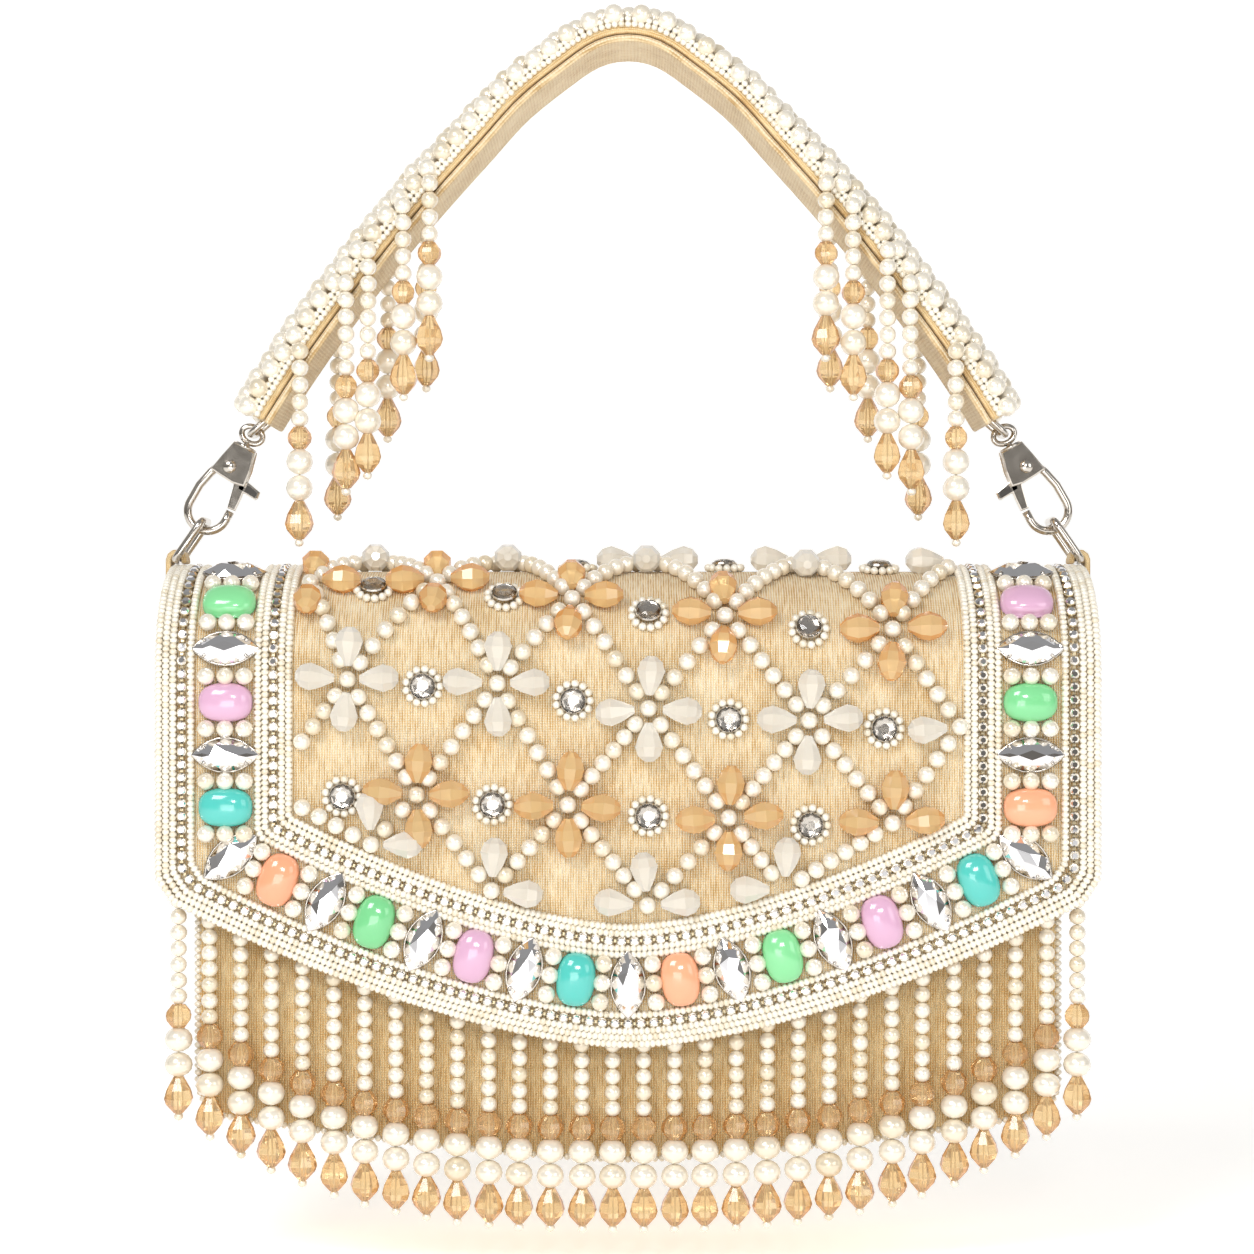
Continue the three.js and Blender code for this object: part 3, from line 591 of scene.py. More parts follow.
def merged(shapes: Iterable[bmesh.types.BMesh]) -> bmesh.types.BMesh:
    """Put several shapes into one and return it."""
    whole = bmesh.new()
    for shape in shapes:
        carrier = written("part", shape)
        whole.from_mesh(carrier)
        bpy.data.meshes.remove(carrier)
    return whole


class Stock:
    """A small shape that is made once and set many times."""

    def __init__(self, shape: bmesh.types.BMesh) -> None:
        """Take the shape's points and faces, and free it."""
        shape.verts.index_update()
        self.points = np.array([vertex.co[:] for vertex in shape.verts])
        self.faces = [[vertex.index for vertex in face.verts] for face in shape.faces]
        self.smooth = [face.smooth for face in shape.faces]
        self.finish = [face.material_index for face in shape.faces]
        shape.free()


class Tray:
    """Gathers copies of stock shapes and writes them as one piece."""

    def __init__(self, name: str, seed: int = 1) -> None:
        """Start an empty tray.

        Args:
            name: the piece's name.
            seed: fixes the small differences between its beads.
        """
        self.name = name
        self.chance = random.Random(seed)
        self.points: list[np.ndarray] = []
        self.faces: list[list[int]] = []
        self.smooth: list[bool] = []
        self.finish: list[int] = []
        self.tint: list[float] = []
        self.count = 0

    def set(self, stock: Stock, seats: Iterable[Matrix], first_finish: int = 0) -> None:
        """Set one copy of a stock shape at each seat.

        Args:
            stock: the shape.
            seats: where each copy goes, in millimetres.
            first_finish: added to the shape's own finish numbers.
        """
        for seat in seats:
            matrix = np.array(seat)
            self.points.append(stock.points @ matrix[:3, :3].T + matrix[:3, 3])
            self.faces.extend([i + self.count for i in face] for face in stock.faces)
            self.smooth.extend(stock.smooth)
            self.finish.extend(number + first_finish for number in stock.finish)
            self.tint.extend([self.chance.random()] * len(stock.points))
            self.count += len(stock.points)

    def piece(self, finishes: Sequence[Finish], replaces: Sequence[str] = ()) -> bpy.types.Object:
        """Write the piece, which rides on the bag.

        Args:
            finishes: its materials, in the order of its finish numbers.
            replaces: the frame's nodes that it stands for.

        Returns:
            The finished object.
        """
        mesh = bpy.data.meshes.new(self.name)
        mesh.from_pydata((np.concatenate(self.points) * MM).tolist(), [], self.faces)
        mesh.polygons.foreach_set("use_smooth", self.smooth)
        mesh.polygons.foreach_set("material_index", self.finish)
        mesh.attributes.new(TINT, "FLOAT", "POINT").data.foreach_set("value", self.tint)
        return settle(self.name, mesh, finishes, BAG, replaces)


def settle(
    name: str, mesh: bpy.types.Mesh, finishes: Sequence[Finish], body: str, replaces: Sequence[str]
) -> bpy.types.Object:
    """Make a finished piece from a mesh that is already in place, and let it ride on its body.

    Args:
        name: the piece's name.
        mesh: its mesh, in metres.
        finishes: its materials.
        body: the body that it rides on.
        replaces: the frame's nodes that it stands for.

    Returns:
        The object.
    """
    piece = bpy.data.objects.new(name, mesh)
    bpy.context.scene.collection.objects.link(piece)
    for finish in finishes:
        mesh.materials.append(finish.material())
    mesh.update()
    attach(piece, body)
    if replaces:
        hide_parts(*replaces)
    LOG.info("%s: %d faces on %s", name, len(mesh.polygons), body)
    return piece


def sewn(
    name: str, shape: bmesh.types.BMesh, finish: Finish, replaces: Sequence[str] = ()
) -> bpy.types.Object:
    """Write a cloth piece that has its flat coordinates.

    Args:
        name: the piece's name.
        shape: its form, in millimetres, which is freed.
        finish: its cloth.
        replaces: the frame's nodes that it stands for.

    Returns:
        The object.
    """
    smooth(shape)
    to_metres(shape)
    return settle(name, written(name, shape), [finish], BAG, replaces)


# The flap's surface
@dataclass(frozen=True)
class FlapForm:
    """The flap's outer surface: a flat front, a rounded crown and a flat rear."""

    half_width: float
    front_y: float
    rear_y: float
    top_z: float
    tip_z: float
    crown_rise: float = 24.0
    corner_rise: float = 36.6
    bow: float = 1.6
    rear_z: float = -188.0
    thick: float = 2.5

    @classmethod
    def from_frame(cls) -> FlapForm:
        """Take the flap's outer sizes from the frame."""
        low, high = (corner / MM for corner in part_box("flap"))
        return cls(high.x, low.y, high.y, high.z, low.z)

    @property
    def spring_z(self) -> float:
        """Height of the line where the front turns into the crown."""
        return self.top_z - self.crown_rise

    @cached_property
    def crown(self) -> tuple[np.ndarray, np.ndarray]:
        """Angles over the crown and the length along it at each."""
        angles = np.linspace(0, math.pi, 361)
        depth = (self.rear_y - self.front_y) / 2
        places = np.stack([depth * np.cos(angles), self.crown_rise * np.sin(angles)], axis=1)
        steps = np.linalg.norm(np.diff(places, axis=0), axis=1)
        return angles, np.concatenate([[0.0], np.cumsum(steps)])

    @property
    def crown_length(self) -> float:
        """Length over the crown from front to rear."""
        return float(self.crown[1][-1])

    @property
    def hem(self) -> float:
        """The rear hem's place along the flap."""
        return self.crown_length + self.spring_z - self.rear_z

    def point(self, x: float, s: float, height: float) -> Vector:
        """Find a point over the flap.

        Args:
            x: place across.
            s: place along.
            height: distance above the surface.

        Returns:
            The point, in millimetres.
        """
        if s <= 0:
            return Vector((x, self.front_y - height, self.spring_z + s))
        if s >= self.crown_length:
            return Vector((x, self.rear_y + height, self.spring_z - (s - self.crown_length)))
        angles, lengths = self.crown
        angle = float(np.interp(s, lengths, angles))
        depth = (self.rear_y - self.front_y) / 2 + height
        middle = (self.rear_y + self.front_y) / 2
        rise = self.crown_rise + height
        return Vector((x, middle - depth * math.cos(angle), self.spring_z + rise * math.sin(angle)))

    def seat(self, x: float, s: float, height: float, turn: float = 0.0) -> Matrix:
        """Find how a bead sits on the flap.

        Args:
            x: place across.
            s: place along.
            height: distance of the bead's own origin above the surface.
            turn: angle of its X axis from straight across, towards up.

        Returns:
            Its matrix, with Z off the surface.
        """
        up = (self.point(x, s + 0.5, 0) - self.point(x, s - 0.5, 0)).normalized()
        right = Vector((1, 0, 0))
        basis = Matrix((right, up, right.cross(up))).transposed()
        basis = basis @ Matrix.Rotation(turn, 3, "Z")
        return Matrix.Translation(self.point(x, s, height)) @ basis.to_4x4()


class FlatLine:
    """A line drawn on the flat cloth, measured along its length."""

    def __init__(self, points: Sequence[Place]) -> None:
        """Measure the line through points of x and s."""
        self.points = np.array(points, float)
        steps = np.linalg.norm(np.diff(self.points, axis=0), axis=1)
        self.lengths = np.concatenate([[0.0], np.cumsum(steps)])

    @property
    def length(self) -> float:
        """Its whole length."""
        return float(self.lengths[-1])

    def place(self, distance: float) -> Place:
        """Return x and s at a distance along it."""
        return (
            float(np.interp(distance, self.lengths, self.points[:, 0])),
            float(np.interp(distance, self.lengths, self.points[:, 1])),
        )

    def heading(self, distance: float, reach: float = 0.8) -> float:
        """Return the line's angle from straight across, measured over reach to each side."""
        (x0, s0), (x1, s1) = self.place(distance - reach), self.place(distance + reach)
        return math.atan2(s1 - s0, x1 - x0)

    def spaced(self, pitch: float, trim: float = 0.0) -> list[tuple[float, float, float]]:
        """Return x, s and heading at even steps near a pitch, leaving trim free at both ends."""
        count = max(1, round((self.length - 2 * trim) / pitch))
        distances = [trim + (self.length - 2 * trim) * i / count for i in range(count + 1)]
        return [(*self.place(d), self.heading(d)) for d in distances]


@dataclass(frozen=True)
class BorderForm:
    """The jewelled border's lines.

    A place across it runs from 0 at the flap's edge to 1 at the plain field.
    """

    flap: FlapForm
    field_half: float = 81.2
    field_tip_z: float = -215.7
    field_corner_rise: float = 26.2
    corner_cut: float = 3.5
    field_corner_cut: float = 0.5
    stone_place: float = 0.53

    def half(self, place: float) -> float:
        """Half width of a border line."""
        return self.flap.half_width + (self.field_half - self.flap.half_width) * place

    def low(self, x: float, place: float) -> float:
        """Place along the flap of a border line's lower run at x."""
        tip = self.flap.tip_z + (self.field_tip_z - self.flap.tip_z) * place
        rise = self.flap.corner_rise + (self.field_corner_rise - self.flap.corner_rise) * place
        return tip + rise * (abs(x) / self.half(place)) ** self.flap.bow - self.flap.spring_z

    def line(self, place: float, end: float | None = None) -> FlatLine:
        """Draw a whole border line, from its rear left end round the front to its rear right end.

        Args:
            place: where it lies across the border.
            end: place along the flap where it starts and stops; by default the rear hem.

        Returns:
            The line.
        """
        top = self.flap.hem if end is None else end
        half = self.half(place)
        cut = self.corner_cut + (self.field_corner_cut - self.corner_cut) * place
        steps = 48
        reach = half - cut
        corner = self.low(half, place) + cut
        lower = [reach * (2 * i / steps - 1) for i in range(steps + 1)]
        run = [(x, self.low(x, place)) for x in lower]
        return FlatLine([(-half, top), (-half, corner), *run, (half, corner), (half, top)])

    @cached_property
    def stone_line(self) -> FlatLine:
        """The right half of the line that the stones sit on, from the tip."""
        place = self.stone_place
        half = self.half(place)
        run = [(half * i / 60, self.low(half * i / 60, place)) for i in range(61)]
        return FlatLine([*run, (half, self.flap.hem)])

    def stone(self, distance: float) -> Place:
        """Return x and s at a distance from the tip, negative on the left."""
        x, s = self.stone_line.place(abs(distance))
        return math.copysign(x, distance), s

    def stone_heading(self, distance: float, reach: float) -> float:
        """Return the stones' line's angle from straight across, measured over reach to each side."""
        (x0, s0), (x1, s1) = self.stone(distance - reach), self.stone(distance + reach)
        return math.atan2(s1 - s0, x1 - x0)

    def in_field(self, x: float, s: float, margin: float, end: float) -> bool:
        """Tell whether a place lies in the plain field, clear of its edges by a margin."""
        return abs(x) < self.field_half - margin and self.low(x, 1) + margin < s < end


# Cloth of the flap and the body
@dataclass(frozen=True)
class SilkFlap:
    """The stiffened silk flap, cut flat to the border's outline and wrapped over the bag's top."""

    border: BorderForm
    step: float = 3.0
    edge_radius: float = 0.9

    def build(self) -> bpy.types.Object:
        """Cut the cloth flat with a rounded rim, crease it finely and wrap it."""
        flap = self.border.flap
        outline = self.border.line(0).points
        shape = plate(outline, flap.thick, self.edge_radius)
        crease(shape, 2, float(outline[:, 1].min()), flap.hem, self.step)
        crease(shape, 0, -flap.half_width, flap.half_width, 3 * self.step)
        lay_flat(shape, lambda point: (point.x, point.z))
        for vertex in shape.verts:
            x, y, s = vertex.co
            vertex.co = flap.point(x, s, -y - flap.thick / 2)
        return sewn("flap_silk", shape, Finishes.SILK, ["flap"])


@dataclass(frozen=True)
class BagBody:
    """The silk pouch behind the flap: flat panels, square gussets and a bowed lower edge piped with seeds."""

    half_width: float
    half_depth: float
    top_z: float
    low_z: float
    bottom_rise: float = 11.5
    bottom_bow: float = 1.5
    corner: float = 9.0
    spring_z: float = -154.0
    hem_z: float = -188.3
    top_half_depth: float = 23.4
    sag: float = 0.35
    edge_radius: float = 1.4
    piping_seed: float = 2.0
    piping_pitch: float = 1.65

    @classmethod
    def from_frame(cls) -> BagBody:
        """Take the pouch's outer sizes from the frame."""
        low, high = (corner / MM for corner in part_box("bag_shell"))
        return cls(high.x, high.y, high.z, low.z)

    def low(self, x: float) -> float:
        """Height of the lower edge at x."""
        return self.low_z + self.bottom_rise * (abs(x) / self.half_width) ** self.bottom_bow

    def outline(self) -> list[Place]:
        """Corners of the front panel, from the top left down and round."""
        start = -self.half_width + self.corner
        points = [(-self.half_width, self.top_z)]
        for i in range(7):
            angle = math.pi + math.pi / 2 * i / 6
            x = start + self.corner * math.cos(angle)
            points.append((x, self.low(start) + self.corner + self.corner * math.sin(angle)))
        steps = 40
        for i in range(1, steps):
            x = start + 2 * -start * i / steps
            points.append((x, self.low(x)))
        points += [(-x, z) for x, z in reversed(points[:8])]
        return points

    def depth(self, z: float) -> float:
        """Share of the full half depth that the pouch has at a height."""
        if z <= self.hem_z:
            return 1.0
        top = self.top_half_depth / self.half_depth
        if z <= self.spring_z:
            return 1 + (top - 1) * (z - self.hem_z) / (self.spring_z - self.hem_z)
        arch = (z - self.spring_z) / (self.top_z - self.spring_z)
        return top * math.sqrt(max(0.0, 1 - arch * arch)) + 0.002

    def build(self) -> bpy.types.Object:
        """Run the outline through the bag's depth, round its edges and let its panels sag a little."""
        shape = plate(self.outline(), 2 * self.half_depth, self.edge_radius)
        crease(shape, 0, -self.half_width, self.half_width, 8)
        crease(shape, 2, self.low_z, self.top_z, 2)
        lay_flat(shape, self.flat)
        for vertex in shape.verts:
            vertex.co = self.filled(vertex.co)
        # The body's cloth is the flap's silk with painted shade, a deeper gold
        return sewn("bag_body_silk", shape, Finishes.SILK_PAINTED_SHADE, ["bag_shell"])

    def flat(self, point: Vector) -> Place:
        """Flat place on the cloth: the gussets carry on from the front panel."""
        if abs(point.y) > self.half_depth - 0.01:
            return point.x, point.z
        return point.x + math.copysign(point.y + self.half_depth, point.x), point.z

    def filled(self, point: Vector) -> Vector:
        """Move a point of the square pouch to where the filled cloth holds it."""
        x, y, z = point
        across = max(0.0, 1 - (x / self.half_width) ** 4)
        up = min(1.0, max(0.0, (z - self.low_z) / (self.spring_z - self.low_z)))
        wave = 1 + math.sin(x / 13) * math.sin(z / 17 + x / 40)
        hollow = self.sag * wave * across * math.sin(math.pi * up)
        return Vector((x, y * self.depth(z) - math.copysign(hollow, y), z))

    def piping(self) -> bpy.types.Object:
        """Set a row of seeds along the front panel's side and lower edges."""
        run = [(x, z) for x, z in self.outline() if z < self.spring_z]
        side = [(-self.half_width, self.spring_z - 4)]
        line = FlatLine([*side, *run, (self.half_width, self.spring_z - 4)])
        row = Tray("body_seed_piping", 31)
        seats = []
        for x, z, heading in line.spaced(self.piping_pitch):
            turn = Matrix.Rotation(-heading, 4, "Y") @ ON_SIDE
            y = -self.half_depth * self.depth(z) + 0.5
            seats.append(Matrix.Translation((x * 0.996, y, z + 0.4)) @ turn)
        row.set(Stock(ball(self.piping_seed, 1.6, 8, 5)), seats)
        return row.piece([Finishes.SEED])


# Jewelled border
class BorderRow(Enum):
    """Rows of the border by their place across it, and what they are made of."""

    EDGE_SEEDS = 0.026
    SECOND_SEEDS = 0.08
    THIRD_SEEDS = 0.134
    OUTER_CHAIN = 0.2
    BAND_SEEDS = 0.268
    STONE_SEEDS = 0.772
    INNER_SEEDS = 0.826
    INNER_CHAIN = 0.888
    RIM_SEEDS = 0.95
    FIELD_SEEDS = 1.004


@dataclass(frozen=True)
class Border:
    """The border's seed rows, cup chains, stones and the pearls between them."""

    form: BorderForm
    seed_width: float = 2.05
    seed_pitch: float = 1.32
    chain_pitch: float = 3.1
    chain_stone: float = 2.35
    stone_pitch: float = 12.55
    stones_per_half: int = 14
    pearl: float = 4.35
    pearl_pitch: float = 4.55
    cabochon: tuple[float, float, float] = (9.4, 12.9, 4.2)  # width, length and height
    marquise: tuple[float, float, float] = (8.0, 15.8, 4.0)

    def build(self) -> list[bpy.types.Object]:
        """Make every piece of the border."""
        row = BorderRow
        outer = [row.EDGE_SEEDS, row.SECOND_SEEDS, row.THIRD_SEEDS, row.BAND_SEEDS]
        inner = [row.STONE_SEEDS, row.INNER_SEEDS, row.RIM_SEEDS, row.FIELD_SEEDS]
        return [
            self.seeds("border_outer_seeds", "outer_trim", 11, outer),
            self.seeds("border_inner_seeds", "inner_trim", 12, inner),
            self.chain("border_outer_chain", row.OUTER_CHAIN),
            self.chain("border_inner_chain", row.INNER_CHAIN),
            self.marquises(),
            *self.cabochons(),
            self.pearls(),
        ]

    def seeds(self, name: str, replaces: str, seed: int, rows: Sequence[BorderRow]) -> bpy.types.Object:
        """Stitch down rows of seeds, hole to hole.

        Args:
            name: the piece's name.
            replaces: the node of the frame that it stands for.
            seed: fixes their small differences.
            rows: the rows.

        Returns:
            The piece.
        """
        tray = Tray(name, seed)
        bead = Stock(ball(self.seed_width, self.seed_pitch * 1.2, 8, 5))
        for count, row in enumerate(rows):
            seats = []
            trim = 1 + (count % 2) * self.seed_pitch / 2
            for x, s, heading in self.form.line(row.value).spaced(self.seed_pitch, trim):
                wobble = tray.chance.uniform(-0.12, 0.12)
                seat = self.form.flap.seat(x, s, self.seed_width * 0.42, heading + wobble)
                wide, high = (tray.chance.uniform(0.94, 1.05) for _ in range(2))
                seats.append(seat @ Matrix.Diagonal((1, wide, high, 1)) @ ON_SIDE)
            tray.set(bead, seats)
        return tray.piece([Finishes.SEED], [replaces])

    def chain(self, name: str, row: BorderRow) -> bpy.types.Object:
        """Lay a cup chain: small stones in claw cups, joined by short bars.

        Args:
            name: the piece's name.
            row: where it lies.

        Returns:
            The piece.
        """
        wide = self.chain_stone
        girdle, table = ring_of(8, wide, wide, 1.2), ring_of(8, wide * 0.55, wide * 0.55, 1.75)
        stone = gem([girdle, table, [(0, 0, 0.1)]], 1.15)
        profile = [(0, 0), (0.46, 0), (0.58, 0.95), (0.5, 1.15), (0.42, 0.8)]
        cup = turned([(share * wide, z) for share, z in profile], 8)
        bar = block(self.chain_pitch - wide * 0.9, 0.7, 0.5)
        bmesh.ops.translate(bar, vec=(self.chain_pitch / 2, 0, 0.5), verts=bar.verts)
        link = Stock(merged([stone, painted(cup, 2), painted(bar, 2)]))
        tray = Tray(name, 13)
        seats = [
            self.form.flap.seat(x, s, 0.2, heading)
            for x, s, heading in self.form.line(row.value).spaced(self.chain_pitch, 2)
        ]
        tray.set(link, seats)
        return tray.piece([Finishes.FOIL, Finishes.FOIL, Finishes.BRASS])

    def stone_seats(self, odd: bool, lean: float) -> list[Matrix]:
        """Find the seats of every second stone.

        Args:
            odd: whether they are the cabochons, at odd steps from the tip.
            lean: how much more than the border they turn where it runs across.

        Returns:
            Their seats, from the left end to the right.
        """
        seats = []
        for step in range(-self.stones_per_half, self.stones_per_half + 1):
            if step % 2 != int(odd):
                continue
            distance = step * self.stone_pitch
            turn = self.form.stone_heading(distance, self.stone_pitch / 2)
            if abs(turn) < math.radians(40):
                turn *= lean
            seats.append(self.form.flap.seat(*self.form.stone(distance), 0.3, turn))
        return seats

    def marquises(self) -> bpy.types.Object:
        """Set the foil-backed pointed ovals, each in its thin claw setting."""
        width, length, height = self.marquise
        outline = self.pointed(width, length, 12)
        crown = self.pointed(width * 0.7, length * 0.72, 8, 0.5)
        table = self.pointed(width * 0.3, length * 0.42, 4)
        keel = [(0, length * share, 0.1) for share in (-0.16, 0, 0.16)]
        girdle = height * 0.42
        levels = ((outline, girdle), (crown, height * 0.78), (table, height))
        stone = gem([*([(x, y, z) for x, y in ring] for ring, z in levels), keel], girdle - 0.02)
        rail = [Vector((x, y, girdle * 0.7)) for x, y in self.pointed(width * 1.02, length, 24)]
        metal = [wire(rail, 0.7, True, 6)]
        for x, y in self.pointed(width, length * 0.98, 4, 0.5):
            foot, tip = Vector((x * 1.06, y * 1.06, 0.6)), Vector((x * 0.9, y * 0.9, girdle + 0.75))
            metal.append(wire([foot, tip], 0.8, False, 6))
        seats = self.stone_seats(False, 1.3)
        tray = Tray("marquise_stones", 14)
        tray.set(Stock(merged([stone, painted(merged(metal), 2)])), seats)
        names = [f"marquise_{i + 1}" for i in range(len(seats))]
        return tray.piece([Finishes.FOIL, Finishes.FOIL, Finishes.NICKEL], names)

    @staticmethod
    def pointed(width: float, length: float, count: int, turn: float = 0.0) -> list[Place]:
        """Return points round a pointed oval, long way along Y."""
        points = []
        for i in range(count):
            angle = math.tau * (i + turn) / count
            along = math.sin(angle)
            across = width / 2 * (1 - abs(along) ** 2.2)
            points.append((math.copysign(across, math.cos(angle)), along * length / 2))
        return points

    def cabochons(self) -> list[bpy.types.Object]:
        """Set the domed oval stones, one piece for each colour."""
        width, length, height = self.cabochon
        fullness = 2.6  # 2 is a plain ellipse, and more is squarer
        wall = 0.25  # share of the height that is the stone's upright side
        dome = ball(1, 1, 24, 16)
        geom = dome.verts[:] + dome.edges[:] + dome.faces[:]
        cut = bmesh.ops.bisect_plane(
            dome, geom=geom, plane_co=(0, 0, 0), plane_no=(0, 0, 1), clear_inner=True
        )
        rim = [item for item in cut["geom_cut"] if isinstance(item, bmesh.types.BMEdge)]
        bmesh.ops.holes_fill(dome, edges=rim, sides=32)
        for vertex in dome.verts:
            x, y, z = vertex.co * 2
            reach = math.hypot(x, y)
            corner = (abs(x) ** fullness + abs(y) ** fullness) ** (1 / fullness)
            square = reach / corner if corner > 1e-6 else 1.0
            bulge = math.sqrt(max(0.0, 1 - min(reach, 1) ** fullness))
            up = wall + (1 - wall) * bulge if z > 1e-4 else 0.0
            vertex.co = (x * square * width / 2, y * square * length / 2, up * height)
        stock = Stock(dome)
        seats = self.stone_seats(True, 0.8)
        colours = [Finishes.MINT, Finishes.LILAC, Finishes.TURQUOISE, Finishes.PEACH]
        pieces = []
        for turn, finish in enumerate(colours):
            tray = Tray(f"cabochons_{finish.slot}", 15 + turn)
            tray.set(stock, seats[turn :: len(colours)])
            names = [f"cabochon_{i + 1}" for i in range(turn, len(seats), len(colours))]
            pieces.append(tray.piece([finish], names))
        return pieces

    def pearls(self) -> bpy.types.Object:
        """Set three pearls abreast between each two stones."""
        tray = Tray("border_pearls", 19)
        pearl = Stock(ball(self.pearl, self.pearl, 12, 8))
        seats = []
        for step in range(-self.stones_per_half, self.stones_per_half):
            distance = (step + 0.5) * self.stone_pitch
            x, s = self.form.stone(distance)
            turn = self.form.stone_heading(distance, 3)
            for rank in (-1, 0, 1):
                out = rank * self.pearl_pitch
                dx, ds = -math.sin(turn) * out, math.cos(turn) * out
                seats.append(self.form.flap.seat(x + dx, s + ds, self.pearl * 0.45, turn))
        tray.set(pearl, seats)
        return tray.piece([Finishes.PEARL])


# Field of the flap
@dataclass(frozen=True)
class PearlField:
    """The diamond lattice of pearls, with flowers at its crossings and rosettes in its diamonds."""

    form: BorderForm
    pearl: float = 4.25
    pearl_pitch: float = 4.4
    first_pearl: float = 4.9  # from a crossing's middle pearl to the next
    rear_end: float = 47.0
    petal_length: float = 9.3
    petal_width: float = 7.2
    petal_start: float = 3.2  # from the crossing to the petal's inner end
    rosette: float = 10.2
    rosette_ring: float = 8.15  # across the middles of its seeds
    rosette_stone: float = 6.0
    rosette_seeds: int = 13

    @cached_property
    def crossings(self) -> list[list[Place]]:
        """Rows of crossings from behind the crown down the front, as x and s."""
        across = [
            [-0.78, -0.37, 0.06, 0.53, 1.0],
            [-0.95, -0.57, -0.166, 0.287, 0.78, 1.23],
            [-0.824, -0.384, 0.06, 0.532, 0.975],
            [-1.06, -0.621, -0.177, 0.296, 0.777, 1.21],
            [-0.755, -0.401, 0.057, 0.458],
        ]
        along = [
            [0.79, 0.78, 0.73, 0.66, 0.61],
            [0.39, 0.394, 0.29, 0.208, 0.151, 0.1],
            [-0.037, -0.052, -0.149, -0.196, -0.22],
            [-0.46, -0.483, -0.522, -0.572, -0.593, -0.62],
            [-0.675, -0.853, -0.911, -0.849],
        ]
        height = self.form.flap.spring_z - self.form.field_tip_z
        return [
            [(x * self.form.field_half, s * height) for x, s in zip(*row)] for row in zip(across, along)
        ]

    def legs(self) -> list[tuple[Place, Place]]:
        """Return every leg of the lattice, from a crossing to one on the next row down."""
        pairs = []
        for row, (upper, lower) in enumerate(zip(self.crossings, self.crossings[1:])):
            shift = -1 if row % 2 else 0
            for i, start in enumerate(upper):
                for j in (i + shift, i + shift + 1):
                    if 0 <= j < len(lower):
                        pairs.append((start, lower[j]))
        return pairs

    def inside(self, x: float, s: float, margin: float) -> bool:
        """Tell whether a place lies in the field by a margin."""
        return self.form.in_field(x, s, margin, self.rear_end)

    def build(self) -> list[bpy.types.Object]:
        """Make the lattice, the flowers and the rosettes."""
        return [
            self.lattice(),
            self.petals("flap_amber_petals", 1, Finishes.AMBER, 41),
            self.petals("flap_clear_petals", 0, Finishes.CLEAR, 42),
            self.rosette_stones(),
            self.rosette_rings(),
        ]

    def lattice(self) -> bpy.types.Object:
        """String the pearls."""
        tray = Tray("flap_pearl_lattice", 21)
        pearl = Stock(ball(self.pearl, self.pearl, 12, 8))
        height = self.pearl * 0.48
        places = [place for row in self.crossings for place in row]
        for (x0, s0), (x1, s1) in self.legs():
            length = math.hypot(x1 - x0, s1 - s0)
            free = length - 2 * self.first_pearl
            count = max(1, round(free / self.pearl_pitch))
            for i in range(count + 1):
                share = (self.first_pearl + free * i / count) / length
                places.append((x0 + (x1 - x0) * share, s0 + (s1 - s0) * share))
        seats = []
        for x, s in places:
            if self.inside(x, s, self.pearl * 0.45):
                seats.append(self.form.flap.seat(x, s, height, tray.chance.uniform(0, math.tau)))
        tray.set(pearl, seats)
        return tray.piece([Finishes.PEARL], ["pearl_lattice"])

    def petals(self, name: str, parity: int, finish: Finish, seed: int) -> bpy.types.Object:
        """Set the four drops of each flower on every second row of crossings.

        Args:
            name: the piece's name.
            parity: 1 for the rows that begin behind the crown's front, 0 for those between.
            finish: their glass.
            seed: fixes their small differences.

        Returns:
            The piece.
        """
        tray = Tray(name, seed)
        long, half = self.petal_length, self.petal_width / 2
        if parity:  # pointed drops; those between are rounder at the outer end
            ends, middle = (1.1, 1.0), [(0.84, 0.3), (1, 0.56), (0.72, 0.84)]
        else:
            ends, middle = (0.9, half * 0.3), [(0.72, 0.32), (1, 0.62), (0.78, 0.86)]
        sides = [(half * radius, long * share) for radius, share in middle]
        profile = [(0, 0), (ends[0], 0), *sides, (ends[1], long), (0, long)]
        stock = Stock(spun(spun(turned(profile, 8), 22.5, "Z"), 90, "Y"))
        seats = []
        for row in self.crossings[parity::2]:
            for x, s in row:
                for quarter in range(4):
                    turn = quarter * math.pi / 2 + tray.chance.uniform(-0.1, 0.1)
                    start = self.petal_start + tray.chance.uniform(-0.3, 0.4)
                    middle = start + long / 2
                    dx, ds = math.cos(turn), math.sin(turn)
                    if not self.inside(x + dx * middle, s + ds * middle, half * 0.8):
                        continue
                    here = (x + dx * start, s + ds * start)
                    seats.append(self.form.flap.seat(*here, half * 0.85, turn))
        tray.set(stock, seats)
        return tray.piece([finish])

    def rosette_places(self) -> list[Place]:
        """Return the middle of each diamond that holds a rosette."""
        places = []
        for row in self.crossings:
            for (x0, s0), (x1, s1) in zip(row, row[1:]):
                place = ((x0 + x1) / 2, (s0 + s1) / 2 - 1.2)
                if self.inside(*place, self.rosette * 0.55):
                    places.append(place)
        return places

